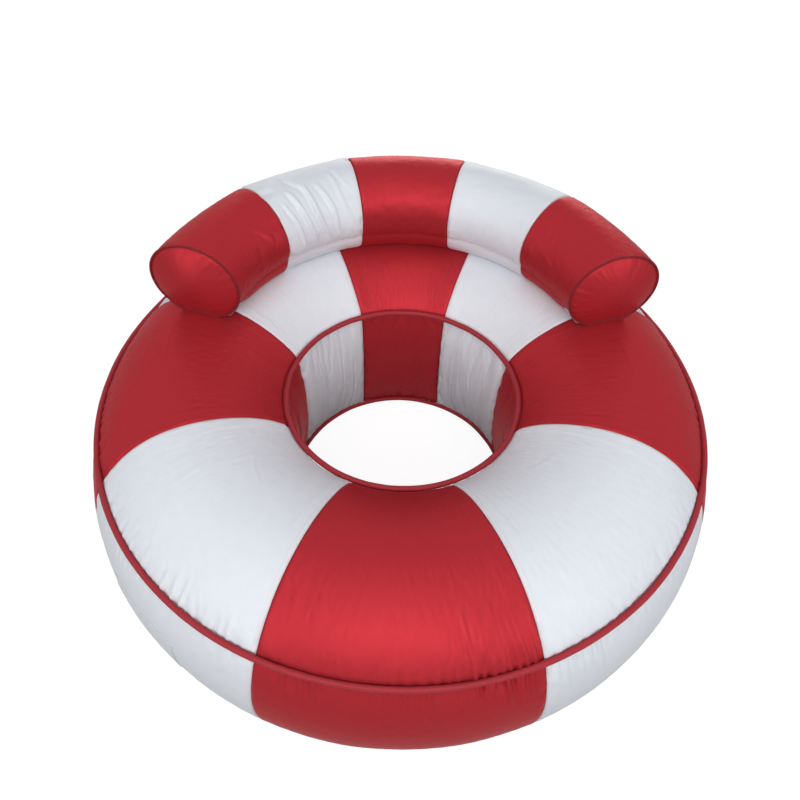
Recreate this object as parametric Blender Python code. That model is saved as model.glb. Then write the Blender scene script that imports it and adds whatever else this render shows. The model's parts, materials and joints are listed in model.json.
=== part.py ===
# Pool lounger: a striped fabric cover, sewn in eight panels round a ring-shaped air bladder,
# with a bolster headrest lying along the back of the ring. Both have their own valve and zip.
# Metres and degrees. The ring stands on the XY plane round the Z axis and its front faces -Y.
# An azimuth is measured from the front, anticlockwise seen from above: 90 is +X, 180 is the back.

from math import asin, cos, degrees, hypot, pi, radians, sin, sqrt

import bmesh
import bpy
from mathutils import Matrix, Vector

# Ring section: the four seams, and how far the fabric bulges between them.
outerSeamRadius = 0.5765
outerSeamHeight = 0.2945
innerSeamRadius = 0.2315
innerSeamHeight = 0.2975
outerBaseRadius = 0.575
outerBaseHeight = 0.022
innerBaseRadius = 0.234
innerBaseHeight = 0.012
outerFloorSlope = 0.040
innerFloorSlope = 0.028
crownRise = 0.086
crownLean = 0.014
sideBulge = 0.038
wallBulge = 0.010
facetsPerPanel = 5
crownSteps = 8
sideSteps = 5
wallSteps = 3

# Eight panels make the ring's cover, each from one seam to the next.
panelNames = ["front", "front_right", "right", "back_right", "back", "back_left", "left", "front_left"]
panelAngle = 360.0 / len(panelNames)
facetAngle = panelAngle / facetsPerPanel
ringCorners = [facetAngle * (index + 0.5) for index in range(len(panelNames) * facetsPerPanel)]

# Cover, piping and bladders.
coverThickness = 0.0012
seamGap = 0.0003
pipingRadius = 0.0055
pipingSides = 8
basePipingRadius = 0.0045
basePipingSides = 6
bladderWall = 0.0009
bladderCornerCut = 0.022
bladderBaseCut = 0.050

# Headrest: an oval section carried round the back of the ring.
headrestSetBack = 0.019
headrestHalfDepth = 0.094
headrestHalfHeight = 0.0845
headrestTilt = -12.7
headrestSink = 0.009
headrestFrontSeam = 217.0
headrestZipTop = -22.0
headrestRearSeam = -38.0
headrestFrontReach = 0.057
contactRoom = 0.012
headrestSteps = 11
headrestCentreSpan = 15.4
headrestMiddleSpan = 44.5
headrestEndSpan = 72.2
headrestEndDome = 0.014
headrestPipingRadius = 0.0026
underBulge = 0.006

# Zips: one under the back of the ring and one along the back of the headrest.
chainWidth = 0.0056
chainThickness = 0.0026
tapeThickness = 0.0007
ringZipHalfSpan = 30.0
ringTapeWidth = 0.0155
sliderLength = 0.0125
sliderPlate = 0.0013
sliderFlange = 0.0014
sliderArchLength = 0.0062
sliderArchHeight = 0.0030
sliderArchWidth = 0.0018
archBar = 0.0010
pullLength = 0.024
pullWidth = 0.0075
pullThickness = 0.0011
pullBar = 0.0012

# Ring valve: a threaded boss welded in the bladder, a screw-in insert with a flap, and a cap.
ringValvePlace = "back_right"
ringValveHeight = 0.104
bossRadius = 0.0175
bossBore = 0.0140
bossHeight = 0.0095
valveFlangeRadius = 0.0250
valveFlangeThickness = 0.0016
valveRunGap = 0.0004
coverHoleMargin = 0.0035
insertDepth = 0.0065
insertWall = 0.0022
insertWeb = 0.0018
insertGrip = 0.0020
flapRoom = 0.0006
flapHeadHeight = 0.0013
airHoleRadius = 0.0026
airHoleCount = 6
flapRadius = 0.0108
flapThickness = 0.0007
flapStemRadius = 0.0012
capWall = 0.0018
capSkirt = 0.0065
capTabLength = 0.0090
capTabWidth = 0.0110
valveSides = 24

# Headrest valve: a small stem with a push-in plug, on the back of the right white stripe.
headrestValveTurn = 10.6
stemRadius = 0.0062
stemBore = 0.0044
stemHeight = 0.0125
stemFlangeRadius = 0.0125
stemFlangeThickness = 0.0012
stemBead = 0.0010
plugDepth = 0.0085
plugHeadRadius = 0.0080
plugHeadHeight = 0.0034
stemSides = 16


def clearScene():
    for old in list(bpy.data.objects):
        bpy.data.objects.remove(old, do_unlink=True)


def makeMaterial(name, color, roughness, metallic=0.0, alpha=1.0):
    material = bpy.data.materials.new(name)
    material.use_nodes = True
    principled = material.node_tree.nodes["Principled BSDF"]
    principled.inputs["Base Color"].default_value = (*color, 1.0)
    principled.inputs["Roughness"].default_value = roughness
    principled.inputs["Metallic"].default_value = metallic
    principled.inputs["Alpha"].default_value = alpha
    material.diffuse_color = (*color, 1.0)
    return material


# Outlines are lists of (radius, height) points, walked so that the outside is on the left.


def arcBetween(start, end, rise, steps):
    along = Vector((end[0] - start[0], end[1] - start[1]))
    chord = along.length
    along.normalize()
    left = Vector((-along.y, along.x))
    radius = (chord * chord / 4 + rise * rise) / (2 * rise)
    centre = Vector(start).lerp(Vector(end), 0.5) + left * (rise - radius)
    half = asin(chord / 2 / radius)
    points = []
    for step in range(steps + 1):
        angle = half * (2 * step / steps - 1)
        points.append(centre + left * (radius * cos(angle)) + along * (radius * sin(angle)))
    return points


def cutBack(points, startCut, endCut):
    """The same outline with a length taken off each end."""
    return cutStart(cutStart(points, startCut)[::-1], endCut)[::-1]


def cutStart(points, length):
    kept = [Vector(p) for p in points]
    while length > 0 and len(kept) > 1:
        step = (kept[1] - kept[0]).length
        if step > length:
            kept[0] = kept[0].lerp(kept[1], length / step)
            return kept
        length -= step
        kept.pop(0)
    return kept


def clearStart(points, centre, distance):
    """The outline from where it leaves a circle round its start."""
    kept = [Vector(p) for p in points]
    while len(kept) > 2 and (kept[1] - centre).length < distance:
        kept.pop(0)
    along = kept[1] - kept[0]
    back = (kept[0] - centre).dot(along) / along.length_squared
    short = ((kept[0] - centre).length_squared - distance * distance) / along.length_squared
    kept[0] = kept[0] + along * (sqrt(back * back - short) - back)
    return kept


def clearEnds(points, before, after):
    """The outline between two pipings, each given as its centre and radius."""
    trimmed = clearStart(points, before[0], before[1] + seamGap)
    return clearStart(trimmed[::-1], after[0], after[1] + seamGap)[::-1]


def leftNormal(start, end):
    along = Vector(end) - Vector(start)
    along.normalize()
    return Vector((-along.y, along.x))


def inset(points, depth, looped=False):
    """The outline moved inwards, with its corners mitred."""
    count = len(points)
    moved = []
    for i, point in enumerate(points):
        sides = []
        if looped or i > 0:
            sides.append(leftNormal(points[i - 1], point))
        if looped or i < count - 1:
            sides.append(leftNormal(point, points[(i + 1) % count]))
        normal = sides[0] + sides[-1]
        moved.append(Vector(point) - normal * (depth * 2 / normal.length_squared))
    return moved


def heightAt(points, radius):
    """The height of an outline that runs outwards, above a radius."""
    for near, far in zip(points, points[1:]):
        if near[0] <= radius <= far[0]:
            return near[1] + (far[1] - near[1]) * (radius - near[0]) / (far[0] - near[0])
    return points[-1][1]


def onFacets(point, azimuth):
    """An outline's point, carried round the axis to an azimuth on the ring's flat facets."""
    off = azimuth - facetAngle * round(azimuth / facetAngle)
    reach = point[0] * cos(radians(facetAngle / 2)) / cos(radians(off))
    angle = radians(azimuth)
    return Vector((reach * sin(angle), -reach * cos(angle), point[1]))


def facetColumns(start, end):
    """The azimuths of a sweep's columns: its two ends and every facet corner between them."""
    columns = [start]
    corner = facetAngle / 2
    first = int((start - corner) // facetAngle) + 1
    last = int((end - corner) // facetAngle) + 1
    for index in range(first, last + 1):
        azimuth = corner + index * facetAngle
        if start + 0.2 < azimuth < end - 0.2:
            columns.append(azimuth)
    return columns + [end]


def shifted(azimuth, distance, radius):
    return azimuth + degrees(distance / radius)


def columnPoints(points, azimuth, shift=0.0):
    return [onFacets(p, shifted(azimuth, shift, p[0])) for p in points]


def addGrid(bm, rows, looped, ringed, flip=False):
    """Faces over rows of points; each row is one column of a sweep. It returns the vertices."""
    grid = [[bm.verts.new(p) for p in row] for row in rows]
    columns = len(grid)
    count = len(grid[0])
    for c in range(columns if ringed else columns - 1):
        nextColumn = grid[(c + 1) % columns]
        for i in range(count if looped else count - 1):
            j = (i + 1) % count
            corners = [grid[c][i], nextColumn[i], nextColumn[j], grid[c][j]]
            bm.faces.new(corners[::-1] if flip else corners)
    return grid


def addRim(bm, outer, inner):
    """Joins two rows of vertices of the same length by a strip of faces."""
    for i in range(len(outer) - 1):
        bm.faces.new([outer[i], outer[i + 1], inner[i + 1], inner[i]])


def finishMesh(name, bm, material, outwards=True):
    """Makes the object. A bag's two skins face apart already, so its faces are left as they are."""
    if outwards:
        bmesh.ops.recalc_face_normals(bm, faces=bm.faces)
    mesh = bpy.data.meshes.new(name)
    bm.to_mesh(mesh)
    bm.free()
    part = bpy.data.objects.new(name, mesh)
    bpy.context.scene.collection.objects.link(part)
    mesh.materials.append(material)
    return part


def sweptPanel(name, outline, start, end, material, startGap=seamGap / 2, endGap=seamGap / 2,
               thickness=coverThickness):
    """A sheet of fabric: the outline and its inset, carried round from one azimuth to another."""
    bm = bmesh.new()
    columns = facetColumns(start, end)
    shifts = [startGap] + [0.0] * (len(columns) - 2) + [-endGap]
    sheets = []
    for points in (outline, inset(outline, thickness)):
        rows = [columnPoints(points, azimuth, shift) for azimuth, shift in zip(columns, shifts)]
        sheets.append(addGrid(bm, rows, False, False, flip=bool(sheets)))
    outer, inner = sheets
    addRim(bm, outer[0], inner[0])
    addRim(bm, inner[-1], outer[-1])
    addRim(bm, [row[0] for row in inner], [row[0] for row in outer])
    addRim(bm, [row[-1] for row in outer], [row[-1] for row in inner])
    return finishMesh(name, bm, material)


def sweptRing(name, outline, material):
    """A closed outline carried all the way round."""
    bm = bmesh.new()
    addGrid(bm, [columnPoints(outline, azimuth) for azimuth in ringCorners], True, True)
    return finishMesh(name, bm, material)


def sweptBand(name, outline, start, end, material):
    """A closed outline carried part of the way round, with flat ends."""
    bm = bmesh.new()
    grid = addGrid(bm, [columnPoints(outline, a) for a in facetColumns(start, end)], True, False)
    bm.faces.new(grid[0])
    bm.faces.new(grid[-1][::-1])
    return finishMesh(name, bm, material)


def circleOutline(centre, radius, sides):
    turn = 2 * pi / sides
    return [Vector((centre[0] + radius * cos(turn * (i + 0.5)), centre[1] - radius * sin(turn * (i + 0.5))))
            for i in range(sides)]


def bandOutline(start, end, lift, thickness):
    """A flat band's section along the line from start to end, its outer face lifted off that line."""
    outwards = leftNormal(start, end)
    top = [Vector(start) + outwards * lift, Vector(end) + outwards * lift]
    return top + [p - outwards * thickness for p in top[::-1]]


def facetFrame(outline, step, azimuth):
    """The middle of the flat of a sweep nearest to an azimuth: Z points out of it, X runs along the ring."""
    half = facetAngle / 2
    middle = facetAngle * round(azimuth / facetAngle)
    corners = [onFacets(outline[i], middle + side * half) for i in (step, step + 1) for side in (-1, 1)]
    along = (corners[1] - corners[0]).normalized()
    across = (corners[0] - corners[2]).normalized()
    outwards = along.cross(across).normalized()
    across = outwards.cross(along)
    centre = sum(corners, Vector()) / 4
    return Matrix((along, across, outwards)).transposed().to_4x4(), centre


def placed(part, frame):
    turn, centre = frame
    part.matrix_world = Matrix.Translation(centre) @ turn
    return part


def lathed(name, profile, sides, material):
    """A closed profile of (radius, height) points turned round its own Z axis."""
    bm = bmesh.new()
    verts = [bm.verts.new((radius, 0.0, height)) for radius, height in profile]
    edges = [bm.edges.new((verts[i], verts[(i + 1) % len(verts)])) for i in range(len(verts))]
    onAxis = [i for i, point in enumerate(profile) if point[0] == 0.0]
    if onAxis:
        first = onAxis[-1]
        bm.edges.remove(edges[first])
        edges.pop(first)
    bmesh.ops.spin(bm, geom=verts + edges, axis=(0, 0, 1), cent=(0, 0, 0), angle=2 * pi,
                   steps=sides, use_merge=True)
    bmesh.ops.remove_doubles(bm, verts=bm.verts, dist=1e-6)
    return finishMesh(name, bm, material)


def ringSection():
    """The outlines of the ring's four fabric walls, each walked from seam to seam."""
    innerSeam = (innerSeamRadius, innerSeamHeight)
    outerSeam = (outerSeamRadius, outerSeamHeight)
    outerBase = (outerBaseRadius, outerBaseHeight)
    innerBase = (innerBaseRadius, innerBaseHeight)
    crown = arcBetween(innerSeam, outerSeam, crownRise, crownSteps)
    for index, point in enumerate(crown):
        point.x += crownLean * sin(pi * index / crownSteps) ** 2
    side = arcBetween(outerSeam, outerBase, sideBulge, sideSteps)
    base = [Vector(outerBase), Vector((outerBaseRadius - outerFloorSlope, 0.0)),
            Vector((innerBaseRadius + innerFloorSlope, 0.0)), Vector(innerBase)]
    wall = arcBetween(innerBase, innerSeam, wallBulge, wallSteps)
    return {"crown": crown, "side": side, "base": base, "wall": wall}


def stripe(index, red, white):
    return red if index % 2 == 0 else white


def ringPipings(section):
    """Each seam's piping as its centre and radius: it lies on the seam, down to the cover's inside."""
    seams = [
        ("outer_top", "crown", "side", pipingRadius),
        ("outer_base", "side", "base", basePipingRadius),
        ("inner_base", "base", "wall", basePipingRadius),
        ("inner_top", "wall", "crown", pipingRadius),
    ]
    pipings = {}
    for name, before, after, radius in seams:
        ending, starting = section[before], section[after]
        normal = leftNormal(ending[-2], ending[-1]) + leftNormal(starting[0], starting[1])
        pipings[name] = (starting[0] + normal.normalized() * (radius - coverThickness), radius)
    return pipings


def makeRingCover(section, pipings, red, white):
    walls = [
        ("top", clearEnds(section["crown"], pipings["inner_top"], pipings["outer_top"])),
        ("side", clearEnds(section["side"], pipings["outer_top"], pipings["outer_base"])),
        ("inner", clearEnds(section["wall"], pipings["inner_base"], pipings["inner_top"])),
    ]
    panels = {}
    for index, place in enumerate(panelNames):
        middle = index * panelAngle
        for wall, outline in walls:
            name = f"ring_{wall}_panel_{place}"
            panels[name] = sweptPanel(name, outline, middle - panelAngle / 2, middle + panelAngle / 2,
                                      stripe(index, red, white))
    return panels


def makeRingBase(section, pipings, white):
    """The base is one annular sheet, with a slot along its back edge where the zip is sewn in."""
    outline = clearEnds(section["base"], pipings["outer_base"], pipings["inner_base"])
    base = sweptRing("ring_base_panel", outline + inset(outline, coverThickness)[::-1], white)
    outwards = (section["base"][0] - section["base"][1]).normalized()
    edge = outline[0] - outwards * (ringZipWidth() + seamGap)
    slot = bandOutline(section["base"][0] + outwards * valveFlangeRadius, edge, coverThickness * 4, coverThickness * 9)
    cutter = sweptBand("zip_slot_cutter", slot, 180 - ringZipHalfSpan, 180 + ringZipHalfSpan, white)
    addBoolean(base, cutter, "DIFFERENCE", "zip slot")
    return base


def makePipings(pipings, red):
    for name, (centre, radius) in pipings.items():
        sides = pipingSides if name.endswith("top") else basePipingSides
        sweptRing(f"piping_{name}", circleOutline(centre, radius, sides), red)


def bladderOutline(section):
    """The bladder fills the cover but rounds its corners, clear of the piping and of the zip."""
    loop = cutBack(section["crown"][::2], bladderCornerCut, bladderCornerCut)
    loop += cutBack(section["side"], bladderCornerCut, bladderBaseCut)
    loop += [section["base"][1].copy(), section["base"][2].copy()]
    loop += cutBack(section["wall"], bladderCornerCut, bladderCornerCut)
    return inset(loop, coverThickness + seamGap, looped=True)


def makeBag(name, outline, start, end, material):
    """A closed bag with a thin wall; only its valve hole opens it."""
    bm = bmesh.new()
    depth = degrees(bladderWall / outline[0][0])
    lining = inset(outline, bladderWall, looped=True)
    layers = [(outline, start, end, False), (lining, start + depth, end - depth, True)]
    for points, first, last, flip in layers:
        grid = addGrid(bm, [columnPoints(points, a) for a in facetColumns(first, last)], True, False, flip)
        for ring in (grid[0][::-1], grid[-1]):
            bm.faces.new(ring if flip else ring[::-1])
    return finishMesh(name, bm, material, outwards=False)


def makeTube(name, outline, material):
    """A ring-shaped bag with a thin wall."""
    bm = bmesh.new()
    for points, flip in ((outline, False), (inset(outline, bladderWall, looped=True), True)):
        addGrid(bm, [columnPoints(points, azimuth) for azimuth in ringCorners], True, True, flip)
    return finishMesh(name, bm, material, outwards=False)


def holeCutter(name, radius, sides, frame, material):
    """A round cutter through the cover and the bladder's wall, but not as deep as the bladder."""
    depth = valveFlangeRadius
    cutter = lathed(name, [(0.0, -depth), (radius, -depth), (radius, depth), (0.0, depth)], sides, material)
    return placed(cutter, frame)


def boxPart(name, low, high, material):
    """An upright box between two corners, in its own axes."""
    bm = bmesh.new()
    bmesh.ops.create_cube(bm, size=1.0)
    size = Vector(high) - Vector(low)
    bmesh.ops.scale(bm, vec=size, verts=bm.verts)
    bmesh.ops.translate(bm, vec=Vector(low) + size / 2, verts=bm.verts)
    return finishMesh(name, bm, material)


def extruded(name, outline, direction, depth, material):
    """A flat outline of 3D points pushed out along a direction."""
    bm = bmesh.new()
    face = bm.faces.new([bm.verts.new(p) for p in outline])
    grown = bmesh.ops.extrude_face_region(bm, geom=[face])
    tip = [item for item in grown["geom"] if isinstance(item, bmesh.types.BMVert)]
    bmesh.ops.translate(bm, vec=Vector(direction) * depth, verts=tip)
    return finishMesh(name, bm, material)


def addBoolean(part, other, operation, name):
    modifier = part.modifiers.new(name, "BOOLEAN")
    modifier.operation = operation
    modifier.solver = "EXACT"
    modifier.object = other
    other.hide_render = True
    other.display_type = "WIRE"


def makeRingValve(section, bladder, panel):
    """A boss welded in the bladder's wall, the insert screwed into it, its flap and the push-on cap."""
    step = max(i for i, p in enumerate(section["side"][:-1]) if p.y > ringValveHeight)
    onCover = facetFrame(section["side"], step, panelNames.index(ringValvePlace) * panelAngle)
    frame = sunk(onCover, coverThickness + seamGap)
    addBoolean(panel, holeCutter("valve_opening_cutter", bossRadius + coverHoleMargin, valveSides, frame,
                                 valvePlastic), "DIFFERENCE", "valve opening")
    addBoolean(bladder, holeCutter("bladder_hole_cutter", bossRadius + seamGap, valveSides, frame,
                                   valvePlastic), "DIFFERENCE", "valve hole")

    flangeTop = -bladderWall - seamGap
    flangeFoot = flangeTop - valveFlangeThickness
    seat = -insertDepth - valveRunGap
    foot = seat - insertWeb
    ledge = bossBore - insertWall
    base = lathed("ring_valve_base", [
        (bossRadius, foot), (bossRadius, flangeFoot), (valveFlangeRadius, flangeFoot),
        (valveFlangeRadius, flangeTop), (bossRadius, flangeTop), (bossRadius, bossHeight),
        (bossBore, bossHeight), (bossBore, seat), (ledge, seat), (ledge, foot),
    ], valveSides, valvePlastic)
    placed(base, frame)

    outer = bossBore - valveRunGap
    inner = outer - insertWall
    rim = bossHeight
    webFoot = -insertDepth + flapThickness + flapRoom
    webTop = webFoot + insertWeb
    stemHole = flapStemRadius + seamGap
    insert = lathed("ring_valve_insert", [
        (stemHole, webTop), (inner, webTop), (inner, rim), (outer, rim), (outer, -insertDepth),
        (inner, -insertDepth), (inner, webFoot), (stemHole, webFoot),
    ], valveSides, valvePlastic)
    placed(insert, frame)
    holes = airHoleCutter(stemHole, inner, webFoot, webTop)
    addBoolean(insert, placed(holes, frame), "DIFFERENCE", "air holes")
    gripFoot = webTop + flapHeadHeight + 2 * seamGap
    grip = boxPart("insert_grip_helper", (-inner - insertWall / 2, -insertGrip / 2, gripFoot),
                   (inner + insertWall / 2, insertGrip / 2, rim - seamGap), valvePlastic)
    addBoolean(insert, placed(grip, frame), "UNION", "grip bar")

    flapTop = webFoot - seamGap
    headFoot = webTop + seamGap
    flap = lathed("ring_valve_flap", [
        (0.0, flapTop - flapThickness), (flapRadius, flapTop - flapThickness), (flapRadius, flapTop),
        (flapStemRadius, flapTop), (flapStemRadius, headFoot), (2 * flapStemRadius, headFoot),
        (flapStemRadius, headFoot + flapHeadHeight - seamGap), (0.0, headFoot + flapHeadHeight - seamGap),
    ], valveSides, flapRubber)
    placed(flap, frame)

    skirt = bossRadius + valveRunGap
    roof = bossHeight + valveRunGap
    top = roof + capWall
    edge = skirt + capWall
    cap = lathed("ring_valve_cap", [
        (0.0, top), (edge - capWall / 2, top), (edge, top - capWall / 2), (edge, roof - capSkirt),
        (skirt, roof - capSkirt), (skirt, roof), (0.0, roof),
    ], valveSides, valvePlastic)
    placed(cap, frame)
    tab = boxPart("cap_tab_helper", (skirt, -capTabWidth / 2, roof + capWall / 4),
                  (edge + capTabLength, capTabWidth / 2, top - capWall / 8), valvePlastic)
    addBoolean(cap, placed(tab, frame), "UNION", "finger tab")


def airHoleCutter(stemHole, inner, webFoot, webTop):
    """Round holes spread over the insert's web, one mesh of separate cylinders."""
    bm = bmesh.new()
    pitch = (stemHole + inner) / 2
    depth = webTop - webFoot + 2 * seamGap
    for hole in range(airHoleCount):
        angle = 2 * pi * hole / airHoleCount
        where = Vector((pitch * cos(angle), pitch * sin(angle), (webFoot + webTop) / 2))
        bmesh.ops.create_cone(bm, cap_ends=True, segments=10, radius1=airHoleRadius, radius2=airHoleRadius,
                              depth=depth, matrix=Matrix.Translation(where))
    return finishMesh("air_hole_cutter", bm, valvePlastic)


def sunk(frame, depth):
    """The same frame, moved inwards along its own Z."""
    turn, centre = frame
    outwards = Vector((turn[0][2], turn[1][2], turn[2][2]))
    return turn, centre - outwards * depth


def ringZipWidth():
    """From the outer piping to the edge of the base's slot: two tapes and the chain."""
    return 2 * ringTapeWidth + chainWidth + 2 * seamGap


def makeRingZip(section, pipings):
    """The zip fills the slot in the base: two tapes, the chain between them, a slider and its pull."""
    floor = section["base"][1]
    along = (floor - section["base"][0]).normalized()
    first = clearEnds(section["base"], pipings["outer_base"], pipings["inner_base"])[0]
    last = first + along * ringZipWidth()
    middle = first.lerp(last, 0.5)
    reach = along * (chainWidth / 2 + seamGap)
    start = 180 - ringZipHalfSpan
    end = 180 + ringZipHalfSpan
    inFromEnds = degrees(seamGap / floor.x)
    for name, a, b in (("ring_zip_tape_outer", first, middle - reach), ("ring_zip_tape_inner", middle + reach, last)):
        sweptBand(name, bandOutline(a, b, 0.0, tapeThickness), start + inFromEnds, end - inFromEnds, zipTape)
    half = along * (chainWidth / 2)
    lift = (chainThickness - tapeThickness) / 2
    sweptBand("ring_zip_chain", chainOutline(middle - half, middle + half, lift),
              start + inFromEnds, end - inFromEnds, zipChain)
    rest = 180 + facetAngle * int(ringZipHalfSpan / facetAngle)
    makeSlider("ring_zip", [middle - half, middle + half], rest)


def chainOutline(start, end, lift):
    """The chain's section: a flat bar with bevelled edges, standing out on both sides of the tapes."""
    outwards = leftNormal(start, end)
    along = (Vector(end) - Vector(start)).normalized()
    bevel = chainThickness / 4
    top = lift
    foot = lift - chainThickness
    corners = [(0.0, foot + bevel), (0.0, top - bevel), (bevel, top), (chainWidth - bevel, top),
               (chainWidth, top - bevel), (chainWidth, foot + bevel), (chainWidth - bevel, foot), (bevel, foot)]
    return [Vector(start) + along * a + outwards * b for a, b in corners]


def makeSlider(prefix, band, azimuth):
    """A slider that clips over the chain, with an arch for its pull. The chain runs in flats while
    the slider turns about the ring's axis, so the slider stands half of that sag off the chain."""
    turn, centre = facetFrame(band, 0, azimuth)
    across = Vector((turn[0][1], turn[1][1], turn[2][1]))
    outwards = Vector((turn[0][2], turn[1][2], turn[2][2]))
    radial = Vector((centre.x, centre.y, 0.0))
    sag = radial.length * (1 / cos(radians(facetAngle / 2)) - 1)
    radial.normalize()
    playAcross = abs(across.dot(radial)) * sag / 2 + seamGap
    playUp = abs(outwards.dot(radial)) * sag / 2 + seamGap
    frame = (turn, centre + radial * (sag / 2))

    inner = chainWidth / 2 + playAcross
    outer = inner + sliderFlange
    foot = playUp
    roof = (chainThickness - tapeThickness) / 2 + playUp
    top = roof + sliderPlate
    half = sliderLength / 2
    channel = [(-outer, foot), (-outer, top), (outer, top), (outer, foot),
               (inner, foot), (inner, roof), (-inner, roof), (-inner, foot)]
    slider = extruded(f"{prefix}_slider", [(-half, y, z) for y, z in channel], (1, 0, 0), sliderLength, zipMetal)
    flareEnd(slider, half, outer)
    placed(slider, frame)
    archHalf = sliderArchLength / 2
    sunkFoot = top - sliderPlate / 2
    crest = top + sliderArchHeight
    arch = [(-archHalf, sunkFoot), (-archHalf, crest), (archHalf, crest), (archHalf, sunkFoot),
            (archHalf - archBar, sunkFoot), (archHalf - archBar, crest - archBar),
            (archBar - archHalf, crest - archBar), (archBar - archHalf, sunkFoot)]
    staple = extruded(f"{prefix}_arch_helper", [(x, -sliderArchWidth / 2, z) for x, z in arch], (0, 1, 0),
                      sliderArchWidth, zipMetal)
    addBoolean(slider, placed(staple, frame), "UNION", "arch")

    axisHeight = top + (sliderArchHeight - archBar) / 2
    eyeReach = hypot(archHalf, crest - axisHeight) + seamGap
    rail = sliderArchWidth / 2 + seamGap * 2
    pull = pullTab(f"{prefix}_pull", eyeReach, rail)
    pivot = (turn, frame[1] + outwards * axisHeight)
    placed(pull, pivot)


def flareEnd(slider, half, outer):
    """The mouth of the slider is wider than its tail."""
    for vertex in slider.data.vertices:
        if vertex.co.x > 0 and abs(vertex.co.y) > outer - seamGap:
            vertex.co.y *= 1 + sliderFlange / outer / 2


def pullTab(name, eyeReach, rail):
    """A flat tab with a slot at one end for the slider's arch; its bar lies on the joint's axis."""
    bar = pullBar / 2
    side = pullWidth / 2
    half = pullThickness / 2
    tip = pullLength - bar
    nose = side / 2
    outline = [(-bar, -side + bar), (-bar, side - bar), (0.0, side), (tip - nose, side), (tip, side - nose),
               (tip, -side + nose), (tip - nose, -side), (0.0, -side)]
    tab = extruded(name, [(x, y, -half) for x, y in outline], (0, 0, 1), pullThickness, zipMetal)
    slot = boxPart(f"{name}_slot_cutter", (bar, -rail, -pullThickness), (eyeReach, rail, pullThickness), zipMetal)
    slot.parent = tab
    addBoolean(tab, slot, "DIFFERENCE", "slot")
    return tab


def headrestPoint(centre, angle):
    across = headrestHalfDepth * cos(radians(angle))
    up = headrestHalfHeight * sin(radians(angle))
    turn = radians(headrestTilt)
    return Vector((centre[0] + across * cos(turn) - up * sin(turn),
                   centre[1] + across * sin(turn) + up * cos(turn)))


def headrestSection(crown):
    """Its outlines: over the top from the front seam to the zip, the zip's flat, and underneath,
    where it lies on the ring's crown between two contact lines."""
    raised = inset(crown, -seamGap)
    radius = (innerSeamRadius + outerSeamRadius) / 2 + headrestSetBack
    centre = (radius, heightAt(crown, radius) + headrestHalfHeight - headrestSink)
    turn = headrestZipTop - headrestFrontSeam
    over = [headrestPoint(centre, headrestFrontSeam + turn * i / headrestSteps) for i in range(headrestSteps + 1)]
    rearSeam = headrestPoint(centre, headrestRearSeam)
    touching = headrestRearSeam
    while headrestPoint(centre, touching).y > heightAt(raised, headrestPoint(centre, touching).x):
        touching -= 0.1
    resting = restingLine(raised, radius - headrestFrontReach, headrestPoint(centre, touching).x)
    under = [rearSeam, headrestPoint(centre, (headrestRearSeam + touching) / 2)]
    under += resting[:0:-1]
    under += arcBetween(resting[0], over[0], underBulge, 3)
    return {"over": over, "zip": [over[-1], rearSeam], "under": under}


def restingLine(raised, near, far):
    """The crown between the headrest's two contact lines. A corner of the crown that is close to a
    contact line takes its place, so that no facet is too short for the seams inside it."""
    line = [p.copy() for p in raised if near < p.x < far]
    if line[0].x > near + contactRoom:
        line.insert(0, Vector((near, heightAt(raised, near))))
    if line[-1].x < far - contactRoom:
        line.append(Vector((far, heightAt(raised, far))))
    return line


def headrestSpans():
    """Its five stripes, from the right end round the back to the left end."""
    edges = [-headrestEndSpan, -headrestMiddleSpan, -headrestCentreSpan,
             headrestCentreSpan, headrestMiddleSpan, headrestEndSpan]
    names = ["right_end", "right", "centre", "left", "left_end"]
    return [(name, 180 + a, 180 + b) for name, a, b in zip(names, edges, edges[1:])]


def makeHeadrestCover(rest, red, white):
    hem = seamGap / 2
    ending = headrestPipingRadius + seamGap
    panels = {}
    for index, (place, start, end) in enumerate(headrestSpans()):
        color = stripe(index, red, white)
        isEnd = place.endswith("end")
        over = rest["over"] + rest["zip"][1:] if isEnd else rest["over"]
        startGap = ending if index == 0 else hem
        endGap = ending if index == 4 else hem
        for side, outline in (("top", over), ("under", rest["under"])):
            name = f"headrest_{side}_{place}"
            panels[name] = sweptPanel(name, cutBack(outline, hem, hem), start, end, color, startGap, endGap)
    return panels


def planeShift(azimuth, distance):
    """A step along the ring, square to the plane through its axis at an azimuth."""
    return Vector((cos(radians(azimuth)), sin(radians(azimuth)), 0.0)) * distance


def makeHeadrestEnd(place, loop, azimuth, outwards, red):
    """A domed disc closes each end; a thin piping runs round it, flush with the cover."""
    bm = bmesh.new()
    rows = []
    for side in range(basePipingSides):
        turn = 2 * pi * (side + 0.5) / basePipingSides
        moved = inset(loop, headrestPipingRadius * (1 + cos(turn)), looped=True)
        step = planeShift(azimuth, headrestPipingRadius * sin(turn))
        rows.append([p + step for p in columnPoints(moved, azimuth)])
    addGrid(bm, rows, True, True)
    finishMesh(f"headrest_piping_{place}", bm, redPiping)

    edge = inset(loop, 2 * headrestPipingRadius + seamGap, looped=True)
    middle = sum(edge, Vector((0.0, 0.0))) / len(edge)
    bm = bmesh.new()
    sheets = []
    for depth in (0.0, -coverThickness):
        rings = []
        for share in (1.0, 0.72, 0.38):
            rise = headrestEndDome * (1 - share * share) + depth
            points = [middle.lerp(p, share) for p in edge]
            step = planeShift(azimuth, rise * outwards)
            rings.append([p + step for p in columnPoints(points, azimuth)])
        grid = addGrid(bm, rings, True, False)
        bm.faces.new(grid[-1])
        sheets.append(grid[0])
    addRim(bm, sheets[0] + sheets[0][:1], sheets[1] + sheets[1][:1])
    finishMesh(f"headrest_end_{place}", bm, red)


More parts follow.
